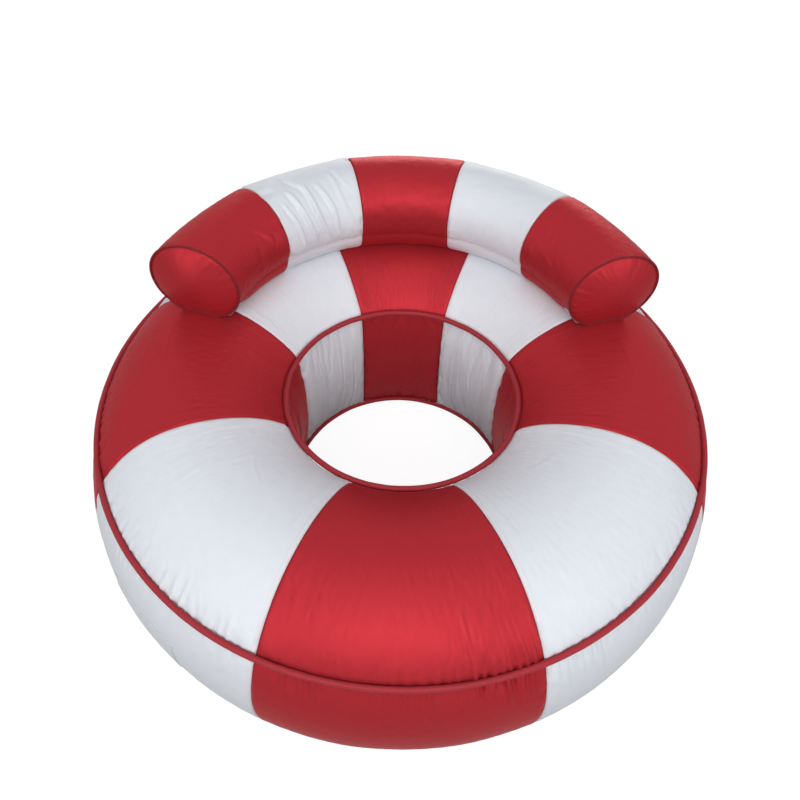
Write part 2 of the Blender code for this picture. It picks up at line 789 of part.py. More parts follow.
def makeHeadrestValve(rest, bag, panels):
    """A stem welded in the bag's wall, standing out through the cover, with a push-in plug."""
    place, start, end = headrestSpans()[1]
    panel = panels[f"headrest_top_{place}"]
    step = int(headrestSteps * (headrestFrontSeam - headrestValveTurn) / (headrestFrontSeam - headrestZipTop))
    frame = sunk(facetFrame(rest["over"], step, (start + end) / 2), coverThickness + seamGap)
    addBoolean(panel, holeCutter("stem_opening_cutter", stemRadius + coverHoleMargin, stemSides, frame,
                                 valvePlastic), "DIFFERENCE", "stem opening")
    addBoolean(bag, holeCutter("bag_hole_cutter", stemRadius + seamGap, stemSides, frame,
                               valvePlastic), "DIFFERENCE", "stem hole")
    flangeTop = -bladderWall - seamGap
    flangeFoot = flangeTop - stemFlangeThickness
    bead = stemRadius + stemBead
    stem = lathed("headrest_valve_stem", [
        (stemFlangeRadius, flangeFoot), (stemFlangeRadius, flangeTop), (stemRadius, flangeTop),
        (stemRadius, stemHeight - 2 * stemBead), (bead, stemHeight - stemBead), (bead, stemHeight),
        (stemBore, stemHeight), (stemBore, flangeFoot),
    ], stemSides, valvePlastic)
    placed(stem, frame)
    shaft = stemBore - seamGap
    head = stemHeight + seamGap
    plug = lathed("headrest_valve_plug", [
        (0.0, head - plugDepth), (shaft, head - plugDepth), (shaft, head), (plugHeadRadius, head),
        (plugHeadRadius, head + plugHeadHeight / 2), (shaft, head + plugHeadHeight), (0.0, head + plugHeadHeight),
    ], stemSides, valvePlastic)
    placed(plug, frame)


def makeHeadrestZip(rest):
    """A one-piece zip: the chain is woven into its tape, which fills the flat under the back."""
    start, end = rest["zip"]
    along = (end - start).normalized()
    first = start + along * (seamGap / 2)
    last = end - along * seamGap
    middle = first.lerp(last, 0.5)
    half = along * (chainWidth / 2)
    lift = (chainThickness - tapeThickness) / 2
    outwards = leftNormal(start, end)
    chain = chainOutline(middle - half, middle + half, lift)
    tape = -tapeThickness
    outline = [first + outwards * tape, first, middle - half, chain[1], chain[2], chain[3], chain[4],
               middle + half, last, last + outwards * tape, middle + half + outwards * tape,
               chain[5], chain[6], chain[7], chain[0], middle - half + outwards * tape]
    spare = degrees(seamGap / start.x)
    sweptBand("headrest_zip_tape", outline, 180 - headrestMiddleSpan + spare,
              180 + headrestMiddleSpan - spare, zipTape)
    slider = 180 + facetAngle * int((headrestMiddleSpan - facetAngle / 2) / facetAngle)
    makeSlider("headrest_zip", [middle - half, middle + half], slider)


clearScene()
redFabric = makeMaterial("red_fabric", (0.52, 0.03, 0.045), 0.45)
whiteFabric = makeMaterial("white_fabric", (0.80, 0.82, 0.84), 0.5)
redPiping = makeMaterial("red_piping", (0.42, 0.035, 0.05), 0.55)
bladderPlastic = makeMaterial("bladder_pvc", (0.55, 0.58, 0.60), 0.35)
valvePlastic = makeMaterial("valve_plastic", (0.75, 0.76, 0.76), 0.4)
flapRubber = makeMaterial("flap_rubber", (0.05, 0.05, 0.055), 0.6)
zipTape = makeMaterial("zip_tape", (0.78, 0.80, 0.82), 0.7)
zipChain = makeMaterial("zip_chain", (0.74, 0.75, 0.76), 0.45)
zipMetal = makeMaterial("zip_metal", (0.62, 0.62, 0.63), 0.3, 1.0)

section = ringSection()
pipings = ringPipings(section)
panels = makeRingCover(section, pipings, redFabric, whiteFabric)
makeRingBase(section, pipings, whiteFabric)
makePipings(pipings, redPiping)
bladder = makeTube("ring_bladder", bladderOutline(section), bladderPlastic)
makeRingValve(section, bladder, panels[f"ring_side_panel_{ringValvePlace}"])
makeRingZip(section, pipings)

rest = headrestSection(section["crown"])
restPanels = makeHeadrestCover(rest, redFabric, whiteFabric)
loop = rest["over"] + rest["zip"][1:] + rest["under"][1:-1]
makeHeadrestEnd("right", loop, 180 - headrestEndSpan, -1, redFabric)
makeHeadrestEnd("left", loop, 180 + headrestEndSpan, 1, redFabric)
bagLoop = inset(rest["over"] + rest["under"][2:-1], coverThickness + seamGap, looped=True)
bagEnd = degrees((headrestPipingRadius + 2 * seamGap) / bagLoop[0].x)
bag = makeBag("headrest_bladder", bagLoop, 180 - headrestEndSpan + bagEnd, 180 + headrestEndSpan - bagEnd,
              bladderPlastic)
makeHeadrestValve(rest, bag, restPanels)
makeHeadrestZip(rest)
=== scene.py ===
# Pool lounger: striped satin cover, bolster headrest, zips and valves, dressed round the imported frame.
# Metres, the front faces -Y. Azimuths are degrees from the front, anticlockwise seen from above.

import json
import math

import bmesh
import bpy
import numpy as np
from mathutils import Matrix, Vector


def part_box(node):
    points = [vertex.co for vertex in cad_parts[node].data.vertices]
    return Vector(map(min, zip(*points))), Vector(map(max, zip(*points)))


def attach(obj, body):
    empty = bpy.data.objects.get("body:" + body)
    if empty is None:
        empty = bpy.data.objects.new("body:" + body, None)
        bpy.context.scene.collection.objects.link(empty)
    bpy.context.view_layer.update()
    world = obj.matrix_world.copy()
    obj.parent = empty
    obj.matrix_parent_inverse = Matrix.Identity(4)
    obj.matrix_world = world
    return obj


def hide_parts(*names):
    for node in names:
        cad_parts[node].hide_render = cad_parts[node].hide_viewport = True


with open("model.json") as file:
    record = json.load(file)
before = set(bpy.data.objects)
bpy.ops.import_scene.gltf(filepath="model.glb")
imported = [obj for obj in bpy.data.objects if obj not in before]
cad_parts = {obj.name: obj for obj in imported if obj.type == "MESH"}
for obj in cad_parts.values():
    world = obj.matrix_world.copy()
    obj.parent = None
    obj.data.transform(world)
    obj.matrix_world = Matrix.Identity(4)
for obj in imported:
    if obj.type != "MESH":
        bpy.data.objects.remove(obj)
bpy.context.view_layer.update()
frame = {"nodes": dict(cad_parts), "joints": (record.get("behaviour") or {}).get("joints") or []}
cadNodes = frame["nodes"]
print("frame loaded:", len(cadNodes), "nodes")

cameraSetup = {
    "location": (-0.0214, -0.9774, 1.4219),
    "pitch": 49.552,
    "yaw": -1.003,
    "roll": 1.925,
    "lens": 34.07,
}


def placeCamera(setup):
    bpy.ops.object.camera_add()
    camera = bpy.context.object
    camera.name = "photoCamera"
    camera.data.lens = setup["lens"]
    camera.data.sensor_width = 36.0
    camera.data.clip_end = 60.0
    turn = Matrix.Rotation(math.radians(setup["yaw"]), 4, "Z")
    turn = turn @ Matrix.Rotation(math.radians(90 - setup["pitch"]), 4, "X")
    turn = turn @ Matrix.Rotation(math.radians(setup["roll"]), 4, "Z")
    camera.matrix_world = Matrix.Translation(setup["location"]) @ turn
    bpy.context.scene.camera = camera


placeCamera(cameraSetup)


# nodes and materials

def addNode(tree, kind, inputs={}, **settings):
    # inputs by socket: plain values or other nodes' outputs. The nodes stand in a row as they are made
    node = tree.nodes.new(kind)
    node.location = (180 * len(tree.nodes), 0)
    for key, value in settings.items():
        setattr(node, key, value)
    for key, value in inputs.items():
        if isinstance(value, bpy.types.NodeSocket):
            tree.links.new(value, node.inputs[key])
        else:
            node.inputs[key].default_value = value
    return node


def mathNode(tree, operation, *values):
    return addNode(tree, "ShaderNodeMath", dict(enumerate(values)), operation=operation).outputs[0]


def noiseNode(tree, place, scale, detail, **inputs):
    inputs = {"Vector": place, "Scale": scale, "Detail": detail, **inputs}
    return addNode(tree, "ShaderNodeTexNoise", inputs).outputs["Fac"]


def rangeNode(tree, value, fromMin, fromMax, toMin, toMax, **settings):
    return addNode(tree, "ShaderNodeMapRange", {"Value": value, "From Min": fromMin, "From Max": fromMax,
                                                "To Min": toMin, "To Max": toMax}, **settings).outputs[0]


def bumpNode(tree, height, strength, distance, **inputs):
    return addNode(tree, "ShaderNodeBump", {"Height": height, "Strength": strength, "Distance": distance,
                                            **inputs}).outputs[0]


def scaleNode(tree, vector, scale):
    return addNode(tree, "ShaderNodeVectorMath", {0: vector, "Scale": scale}, operation="SCALE").outputs[0]


def groupNode(tree, group, inputs):
    return addNode(tree, "ShaderNodeGroup", inputs, node_tree=group).outputs


def startGroup(name, inputs, *outputs):
    # an input without a value is a vector, all the rest are plain numbers
    tree = bpy.data.node_groups.new(name, "ShaderNodeTree")
    for label, value in inputs.items():
        kind = "NodeSocketVector" if value is None else "NodeSocketFloat"
        socket = tree.interface.new_socket(label, in_out="INPUT", socket_type=kind)
        if value is not None:
            socket.default_value = value
    for label in outputs:
        tree.interface.new_socket(label, in_out="OUTPUT", socket_type="NodeSocketFloat")
    return tree, addNode(tree, "NodeGroupInput").outputs


def makeWeaveGroup():
    # plain weave: warp and weft threads that pass over each other, in the cloth's own metres
    tree, given = startGroup("plainWeave", {"Cloth UV": None, "Threads per metre": 2200.0, "Slub": 0.3},
                             "Height", "Thread tone")
    spread = scaleNode(tree, given["Cloth UV"], given["Threads per metre"])
    parts = addNode(tree, "ShaderNodeSeparateXYZ", {0: spread}).outputs
    across, along = (mathNode(tree, "SINE", mathNode(tree, "MULTIPLY", parts[k], math.pi)) for k in (0, 1))
    crossing = mathNode(tree, "MULTIPLY", across, along)
    slubs = noiseNode(tree, spread, 0.02, 2.0)
    uneven = mathNode(tree, "MULTIPLY", slubs, given["Slub"])
    tone = mathNode(tree, "MULTIPLY_ADD", crossing, 0.03, mathNode(tree, "MULTIPLY_ADD", slubs, 0.06, 0.97))
    addNode(tree, "NodeGroupOutput", {"Height": mathNode(tree, "MULTIPLY_ADD", crossing, 0.5, uneven),
                                      "Thread tone": tone})
    return tree


def makeCreaseGroup():
    # faint creases of handled cloth: stretched noise, a broad set and a fine set
    tree, given = startGroup("softCreases", {"Cloth UV": None, "Scale": 14.0, "Stretch": 3.0}, "Height")
    parts = addNode(tree, "ShaderNodeSeparateXYZ", {0: given["Cloth UV"]}).outputs
    slow = mathNode(tree, "DIVIDE", parts[1], given["Stretch"])
    stretched = addNode(tree, "ShaderNodeCombineXYZ", {0: parts[0], 1: slow}).outputs[0]
    broad = noiseNode(tree, stretched, given["Scale"], 3.0, Roughness=0.55, Distortion=0.6)
    fine = noiseNode(tree, stretched, mathNode(tree, "MULTIPLY", given["Scale"], 6.0), 4.0)
    ridge = mathNode(tree, "ABSOLUTE", mathNode(tree, "SUBTRACT", broad, 0.5))
    addNode(tree, "NodeGroupOutput", {"Height": mathNode(tree, "MULTIPLY_ADD", fine, 0.12, ridge)})
    return tree


def makeToneGroup():
    # uneven tone of a large surface, in object space
    tree, given = startGroup("unevenTone", {"Scale": 6.0, "Amount": 0.05}, "Tone", "Mask")
    place = addNode(tree, "ShaderNodeTexCoord").outputs["Object"]
    cloud = noiseNode(tree, place, given["Scale"], 5.0, Roughness=0.6)
    swing = mathNode(tree, "MULTIPLY", mathNode(tree, "SUBTRACT", cloud, 0.5), given["Amount"])
    addNode(tree, "NodeGroupOutput", {"Tone": mathNode(tree, "MULTIPLY_ADD", swing, 2.0, 1.0), "Mask": cloud})
    return tree


weaveGroup = makeWeaveGroup()
creaseGroup = makeCreaseGroup()
toneGroup = makeToneGroup()


def newMaterial(name, values):
    material = bpy.data.materials.new(name)
    material.use_nodes = True
    surface = material.node_tree.nodes["Principled BSDF"]
    for label, value in values.items():
        surface.inputs[label].default_value = value
    return material, material.node_tree, surface.inputs


def tintColor(tree, color, *factors):
    # one colour, darkened or lightened by each factor in turn
    for factor in factors:
        color = scaleNode(tree, color, factor)
    return color


def roughNode(tree, look, mask):
    return mathNode(tree, "MULTIPLY_ADD", mask, look["roughSwing"], look["roughness"] - look["roughSwing"] / 2)


def fabricMaterial(name, look):
    material, tree, surface = newMaterial(name, {
        "Sheen Weight": look["sheen"], "Sheen Roughness": 0.4, "Sheen Tint": look["shine"],
        "Specular Tint": look["shine"], "Specular IOR Level": look["specular"], "Metallic": look["gleam"]})
    cloth = addNode(tree, "ShaderNodeUVMap", uv_map="cloth").outputs[0]
    weave = groupNode(tree, weaveGroup, {"Cloth UV": cloth, "Threads per metre": look["threads"], "Slub": 0.35})
    crease = groupNode(tree, creaseGroup, {"Cloth UV": cloth, "Scale": look["creaseScale"],
                                           "Stretch": look["creaseStretch"]})
    tone = groupNode(tree, toneGroup, {"Scale": look["toneScale"], "Amount": look["toneAmount"]})
    seam = addNode(tree, "ShaderNodeAttribute", attribute_name="seamDistance").outputs["Fac"]
    near = rangeNode(tree, seam, 0.0, 0.004, look["seamShade"], 1.0)      # painted shade: darker in the seam's groove
    color = tintColor(tree, look["color"][:3], weave["Thread tone"], tone["Tone"], near)
    tucked = rangeNode(tree, seam, 0.0085, 0.0100, look["allowance"], 0.0, interpolation_type="SMOOTHSTEP")
    through = addNode(tree, "ShaderNodeMix", {0: tucked, 6: color, 7: look["allowanceColor"]}, data_type="RGBA")
    creases = bumpNode(tree, crease["Height"], look["creaseStrength"], 0.004)
    threads = bumpNode(tree, weave["Height"], look["weaveStrength"], 0.0001, Normal=creases)
    tree.links.new(through.outputs[2], surface["Base Color"])           # the seam allowance shows through
    tree.links.new(roughNode(tree, look, tone["Mask"]), surface["Roughness"])
    tree.links.new(threads, surface["Normal"])
    return material


redLook = {
    "color": (0.425, 0.027, 0.036, 1.0),
    "shine": (1.0, 0.16, 0.18, 1.0),
    "gleam": 0.30,                # satin threads mirror light in their own colour
    "roughness": 0.36,
    "roughSwing": 0.06,
    "specular": 0.07,
    "sheen": 0.10,
    "threads": 2200.0,
    "weaveStrength": 0.5,
    "creaseScale": 9.0,
    "creaseStretch": 2.2,
    "creaseStrength": 0.25,
    "toneScale": 5.0,
    "toneAmount": 0.05,
    # painted shade in a seam's groove: the colour there is multiplied by this
    "seamShade": 0.70,
    "allowance": 0.0,
    "allowanceColor": (0.5, 0.05, 0.06, 1.0),
}
whiteLook = dict(redLook, color=(0.76, 0.79, 0.84, 1.0), shine=(1.0, 1.0, 1.0, 1.0), gleam=0.0, roughness=0.48,
                 specular=0.30, toneScale=4.0, toneAmount=0.02, seamShade=0.88, allowance=0.16,
                 allowanceColor=(0.74, 0.56, 0.58, 1.0))
pipingLook = dict(redLook, color=(0.36, 0.038, 0.049, 1.0), roughness=0.5, gleam=0.15, specular=0.2, creaseScale=60.0,
                  creaseStretch=0.6, creaseStrength=0.35, seamShade=1.0)
rimShadeLook = dict(pipingLook, color=(0.21, 0.022, 0.029, 1.0), gleam=0.0, sheen=0.02)    # painted shade: a darker red for the piping deep in the gathers of the discs
tapeLook = dict(whiteLook, color=(0.70, 0.73, 0.76, 1.0), roughness=0.7, threads=900.0, weaveStrength=1.0,
                allowance=0.0, creaseStrength=0.05, seamShade=1.0)
patchLook = dict(whiteLook, color=(0.72, 0.75, 0.79, 1.0), roughness=0.42, threads=1500.0, weaveStrength=0.7,
                 allowance=0.0, creaseStrength=0.10, seamShade=1.0)

redSatin = fabricMaterial("redSatin", redLook)
whiteSatin = fabricMaterial("whiteSatin", whiteLook)
redPipingCloth = fabricMaterial("redPipingCloth", pipingLook)
shadedRimCloth = fabricMaterial("shadedRimCloth", rimShadeLook)
zipTapeCloth = fabricMaterial("zipTapeCloth", tapeLook)
patchCloth = fabricMaterial("patchCloth", patchLook)


def plasticMaterial(name, look):
    material, tree, surface = newMaterial(name, {"Metallic": look["metal"]})
    place = addNode(tree, "ShaderNodeTexCoord").outputs["Object"]
    tone = groupNode(tree, toneGroup, {"Scale": look["toneScale"], "Amount": look["toneAmount"]})
    grain = noiseNode(tree, place, look["grainScale"], 3.0)
    tree.links.new(tintColor(tree, look["color"], tone["Tone"]), surface["Base Color"])
    tree.links.new(roughNode(tree, look, grain), surface["Roughness"])
    tree.links.new(bumpNode(tree, grain, look["grainStrength"], 0.0002), surface["Normal"])
    return material


plasticLooks = {
    # in the order of the keys below
    "valveWhite": ((0.72, 0.74, 0.75), 0.38, 0.12, 0.0, 30.0, 0.03, 900.0, 0.25),
    "flapBlack": ((0.022, 0.022, 0.024), 0.6, 0.2, 0.0, 60.0, 0.2, 1500.0, 0.3),
    "chainWhite": ((0.70, 0.72, 0.73), 0.42, 0.1, 0.0, 40.0, 0.05, 1200.0, 0.2),
    "sliderMetal": ((0.60, 0.60, 0.61), 0.30, 0.18, 1.0, 90.0, 0.08, 1400.0, 0.2),
    "bladderFilm": ((0.50, 0.53, 0.55), 0.32, 0.14, 0.0, 9.0, 0.06, 60.0, 0.4),
    "threadWhite": ((0.74, 0.76, 0.78), 0.6, 0.15, 0.0, 80.0, 0.06, 3000.0, 0.5),
}
lookKeys = ("color", "roughness", "roughSwing", "metal", "toneScale", "toneAmount", "grainScale", "grainStrength")
valveWhite, flapBlack, chainWhite, sliderMetal, bladderFilm, threadWhite = (
    plasticMaterial(name, dict(zip(lookKeys, look))) for name, look in plasticLooks.items())
print("materials made:", len(bpy.data.materials))


# shapes shared by the cloth pieces

ringShape = {
    "outerSeam": (0.5765, 0.2945),
    "innerSeam": (0.2315, 0.2975),
    "outerBase": (0.575, 0.022),
    "innerBase": (0.234, 0.012),
    "floorOuter": 0.535,
    "floorInner": 0.262,
    "crownRise": 0.086,
    "crownLean": 0.014,
    "sideBulge": 0.038,
    "wallBulge": 0.010,
    "clothThickness": 0.0012,
    "roundness": 0.9985,          # between the flats and the corners of the 40-sided frame
    "panelStep": 0.0042,          # spacing of the cloth's points
    "finerSteps": {"top_front": 0.0029, "side_front": 0.0029, "inner_front": 0.0029,      # many small folds
                   "inner_back_left": 0.0015, "inner_back_right": 0.0015},                # sharp creases
}
stripeNames = ["front", "front_right", "right", "back_right", "back", "back_left", "left", "front_left"]
stripeAngle = 45.0


def stripeMiddle(number):
    return number * stripeAngle if number <= 4 else number * stripeAngle - 360.0


def bow(start, end, rise, count=400):
    # a circular arc that stands off to the left of its chord
    start, end = np.array(start), np.array(end)
    chord = np.linalg.norm(end - start)
    along = (end - start) / chord
    left = np.array([-along[1], along[0]])
    radius = (chord ** 2 / 4 + rise ** 2) / (2 * rise)
    centre = (start + end) / 2 + left * (rise - radius)
    angle = np.linspace(-1, 1, count) * math.asin(chord / 2 / radius)
    return centre + radius * (np.cos(angle)[:, None] * left + np.sin(angle)[:, None] * along)


def lengthsAlong(line):
    steps = np.linalg.norm(np.diff(line, axis=0), axis=1)
    return np.concatenate([[0.0], np.cumsum(steps)])


def readAlong(values, reach, places):
    return np.stack([np.interp(places, reach, column) for column in values.T], -1)


def resample(line, count):
    reach = lengthsAlong(line)
    return readAlong(line, reach, np.linspace(0, reach[-1], count))


def blur(padded, weights):
    weights = weights / weights.sum()
    return np.stack([np.convolve(column, weights, "valid") for column in padded.T], -1)


def pointsAt(line, places):
    # points of a section line at given lengths from its start, and which way is out
    reach = lengthsAlong(line)
    slope = readAlong(np.gradient(line, reach, axis=0), reach, places)
    slope /= np.linalg.norm(slope, axis=1)[:, None]
    return readAlong(line, reach, places), np.stack([-slope[:, 1], slope[:, 0]], -1)


def ringLines(shape):
    crown = bow(shape["innerSeam"], shape["outerSeam"], shape["crownRise"])
    crown[:, 0] += shape["crownLean"] * np.sin(np.linspace(0, math.pi, len(crown))) ** 2
    side = bow(shape["outerSeam"], shape["outerBase"], shape["sideBulge"])
    wall = bow(shape["innerBase"], shape["innerSeam"], shape["wallBulge"])
    return {"top": crown, "side": side, "inner": wall}


def marks(length, step, edge=(0.0, 0.0008, 0.0018, 0.0031, 0.0047, 0.0068, 0.0096)):
    # positions across a panel: close together at both seams, even between them
    edge = np.array(edge)
    middle = np.linspace(edge[-1], length - edge[-1], max(4, round((length - 2 * edge[-1]) / step)))
    return np.concatenate([edge[:-1], middle, (length - edge[:-1])[::-1]])


def unevenness(x, y, seed):
    # smooth value noise from -1 to 1 that is the same on every run
    x, y = np.broadcast_arrays(np.asarray(x, float), np.asarray(y, float))
    column, row = np.floor(x).astype(np.int64), np.floor(y).astype(np.int64)
    fx, fy = x - column, y - row
    fx, fy = fx * fx * (3 - 2 * fx), fy * fy * (3 - 2 * fy)

    def corner(i, j):
        h = (i * 374761393 + j * 668265263 + seed * 974634777) & 0xFFFFFFFF
        h = ((h ^ (h >> 13)) * 1274126177) & 0xFFFFFFFF
        return ((h ^ (h >> 16)) & 0xFFFF) / 32767.5 - 1.0

    near = corner(column, row) * (1 - fx) + corner(column + 1, row) * fx
    far = corner(column, row + 1) * (1 - fx) + corner(column + 1, row + 1) * fx
    return near * (1 - fy) + far * fy


def bell(away, width, power=2):
    # 1 on a seam or line, falling off smoothly with the distance from it
    return np.exp(-(away / width) ** power)


def puckers(along, off, pitch, reach, seed):
    # small folds that run away from a seam and die out
    lean = 0.22 * unevenness(along / 0.11, 0.0 * along, seed + 1)
    moved = along + lean * off
    waves = 0.62 * unevenness(moved / pitch, off / (reach * 2.0), seed)
    waves = waves + 0.38 * unevenness(moved / pitch * 2.2, off / reach, seed + 2)
    length = reach * (0.6 + 0.4 * unevenness(along / (pitch * 1.7), 0.0 * along, seed + 3))
    return waves * bell(off, length) * np.clip(off / 0.005, 0, 1)


def crease(along, off, start, end, width):
    # one soft fold between two places of a panel
    line = np.array(end) - np.array(start)
    length = np.linalg.norm(line)
    share = ((along - start[0]) * line[0] + (off - start[1]) * line[1]) / length ** 2
    aside = ((along - start[0]) * line[1] - (off - start[1]) * line[0]) / length
    taper = np.clip(1 - (2 * share - 1) ** 2, 0, 1) ** 0.8
    bend = min(0.06 * length, 1.5 * width) * unevenness(share * 2.3, 0.0 * share, int(abs(start[0]) * 9999))
    return taper * (bell(aside - bend, width) - 0.6 * bell(aside - bend - 1.9 * width, width))


def creasesOf(panel, folds, azimuth, rows, radius, zero=0.0):
    # the single folds that are listed for a panel
    rise = 0.0
    for where, first, last, wide, height in folds["creases"]:
        if where == panel:
            ends = [(math.radians(angle - zero) * radius, up) for angle, up in (first, last)]
            rise = rise + height * crease(np.radians(azimuth - zero)[None, :] * radius, rows[:, None], *ends, wide)
    return rise


def tucks(along, off, start, end, count, length, height, seed):
    # a row of narrow folds that stand on a seam and run out into the panel
    draws = np.random.default_rng(seed)
    pitch = (end - start) / count
    total = 0.0 * along
    for number in range(count):
        foot = start + (number + 0.5 + draws.uniform(-0.28, 0.28)) * pitch
        reach = length * draws.uniform(0.5, 1.1)
        tall = height * draws.uniform(0.55, 1.15)
        lean, bend = draws.uniform(-0.14, 0.14), draws.uniform(-0.5, 0.5)
        width = min(abs(pitch) * 0.27, 0.0055) * draws.uniform(0.8, 1.2)
        share = np.clip(off / reach, 0, 1)
        aside = (along - foot - lean * off - bend * off ** 2) / (width * (1 - 0.35 * share))
        taper = np.clip(off / 0.0025, 0, 1) * (1 - share) ** 0.9
        total = total + tall * taper * (np.exp(-aside ** 2) - 0.75 * np.exp(-(np.abs(aside) - 1.75) ** 2))
    return total


def carried(radius, azimuth, height):
    angle = np.radians(azimuth)
    return np.stack([radius * np.sin(angle), -radius * np.cos(angle), height + 0 * angle], -1)


def swept(spots, azimuth, shape, rise=0.0, outwards=None):
    # section points, moved outwards by rise, at each azimuth round the ring's axis
    spots = spots if spots.ndim == 3 else spots[:, None]
    radius = spots[..., 0] * shape["roundness"] + 0 * azimuth[None, :]
    height = spots[..., 1] + 0 * radius
    if outwards is not None:
        outwards = outwards if outwards.ndim == 3 else outwards[:, None]
        radius = radius + rise * outwards[..., 0]
        height = height + rise * outwards[..., 1]
    return carried(radius, azimuth[None, :] + 0 * radius, height)


def clothMesh(name, points, cloth, seamDistance=None, looped=False):
    # a mesh over rows of points; looped closes each row, and the cloth map then has one column more
    rows, columns = points.shape[:2]
    index = np.arange(rows * columns).reshape(rows, columns)
    spots = np.arange(cloth.shape[0] * cloth.shape[1]).reshape(cloth.shape[:2])
    if looped:
        index = np.hstack([index, index[:, :1]])
    corners = [(slice(0, -1), slice(0, -1)), (slice(1, None), slice(0, -1)),
               (slice(1, None), slice(1, None)), (slice(0, -1), slice(1, None))]
    quads = np.stack([index[c] for c in corners], -1).reshape(-1, 4)
    maps = np.stack([spots[c] for c in corners], -1).reshape(-1)
    mesh = bpy.data.meshes.new(name)
    mesh.from_pydata(points.reshape(-1, 3).tolist(), [], quads.tolist())
    layer = mesh.uv_layers.new(name="cloth")
    layer.data.foreach_set("uv", cloth.reshape(-1, 2)[maps].ravel().astype(np.float32))
    marksLayer = mesh.attributes.new("seamDistance", "FLOAT", "POINT")
    values = np.full(rows * columns, 1.0) if seamDistance is None else seamDistance.ravel()
    marksLayer.data.foreach_set("value", values.astype(np.float32))
    mesh.shade_smooth()
    return newPiece(name, mesh)


def newPiece(name, mesh):
    piece = bpy.data.objects.new(name, mesh)
    bpy.context.scene.collection.objects.link(piece)
    return piece


def deselectAll():
    if bpy.context.object and bpy.context.object.mode != "OBJECT":
        bpy.ops.object.mode_set(mode="OBJECT")
    bpy.ops.object.select_all(action="DESELECT")


def useOnly(piece):
    deselectAll()
    piece.select_set(True)
    bpy.context.view_layer.objects.active = piece


def applyModifiers(piece):
    useOnly(piece)
    for modifier in list(piece.modifiers):
        bpy.ops.object.modifier_apply(modifier=modifier.name)


def weldPiece(piece, distance=1e-6):
    # doubled points become one, and the faces are turned outwards
    work = bmesh.new()
    work.from_mesh(piece.data)
    bmesh.ops.remove_doubles(work, verts=work.verts, dist=distance)
    bmesh.ops.recalc_face_normals(work, faces=work.faces)
    work.to_mesh(piece.data)
    work.free()
    piece.data.shade_smooth()
    return piece


def giveThickness(piece, thickness):
    wall = piece.modifiers.new("cloth thickness", "SOLIDIFY")
    wall.thickness = thickness
    wall.offset = -1.0
    applyModifiers(piece)
    return piece


def fitOut(piece, material, nodes=(), slot=None, body="lounger"):
    piece.data.materials.clear()
    piece.data.materials.append(material)
    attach(piece, body)
    if nodes:
        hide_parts(*nodes)


def fitStripe(panel, number, node):
    # the stripes are red and white in turn
    material, slot = ((redSatin, "red_fabric"), (whiteSatin, "white_fabric"))[number % 2]
    fitOut(panel, material, [node], slot)


# air in the covers: a coarser copy of the panels is blown up as cloth, and the panels take up its form

coverAir = {
    "rowStep": 0.014,             # spacing of the copy's points up a panel
    "columnStep": 0.0052,         # and along the seams, where the folds are narrow
    "edgeRows": (0.0, 0.0035, 0.0080, 0.0140, 0.0215, 0.0310),
    "slack": 0.0012,              # how much larger the cloth is cut than its form
    "gather": 0.07,               # and how much more where it is gathered in a seam
    "pressure": 4.0,
    "quality": 5,
    "mass": 0.15,
    "stretching": 15.0,
    "shearing": 5.0,
    "bending": 0.05,
    "frames": 20,
    "mostMove": 0.012,            # no point goes further than this
    "mostDent": 0.0010,           # the bladder holds it from inside
    "jitter": 0.00015,
    "stillRadius": 0.060,         # round a valve the cloth keeps its place
}


def smoothRead(values, spots, places):
    # values given at uneven spots, read smoothly at other places along the first axis
    slope = np.gradient(values, spots, axis=0)
    below = np.clip(np.searchsorted(spots, places) - 1, 0, len(spots) - 2)
    shape = (-1,) + (1,) * (values.ndim - 1)
    wide = (spots[below + 1] - spots[below]).reshape(shape)
    t = ((places - spots[below]).reshape(shape) / wide).clip(0, 1)
    return (values[below] * (2 * t ** 3 - 3 * t ** 2 + 1) + slope[below] * wide * (t ** 3 - 2 * t ** 2 + t)
            + values[below + 1] * (3 * t ** 2 - 2 * t ** 3) + slope[below + 1] * wide * (t ** 3 - t ** 2))


def clothCopy(patches, air):
    # all coarse panels in one mesh, pinned along their seams
    draws = np.random.default_rng(7)
    spots, faces, seams, tautness, first = [], [], [], [], 0
    for patch in patches:
        points = patch["points"].copy()
        rows, columns = points.shape[:2]
        points[1:-1, 1:-1] += draws.normal(0, air["jitter"], points[1:-1, 1:-1].shape)
        index = np.arange(rows * columns).reshape(rows, columns) + first
        faces.append(np.stack([index[:-1, :-1], index[1:, :-1], index[1:, 1:], index[:-1, 1:]], -1).reshape(-1, 4))
        seams.append(np.concatenate([index[0], index[-1], index[1:-1, 0], index[1:-1, -1]]))
        tautness.append(1 - np.clip(patch["gather"], 0, 1).ravel())
        spots.append(points.reshape(-1, 3))
        first += rows * columns
    mesh = bpy.data.meshes.new("cover_copy")
    mesh.from_pydata(np.vstack(spots).tolist(), [], np.vstack(faces).tolist())
    copy = newPiece("cover_copy", mesh)
    copy.vertex_groups.new(name="seams").add(np.concatenate(seams).tolist(), 1.0, "REPLACE")
    taut = copy.vertex_groups.new(name="taut")
    weights = np.round(np.concatenate(tautness) * 40).astype(int)
    for level in range(1, 41):                     # forty steps of strength are enough
        chosen = np.flatnonzero(weights == level)
        if len(chosen):
            taut.add(chosen.tolist(), level / 40, "REPLACE")
    return copy


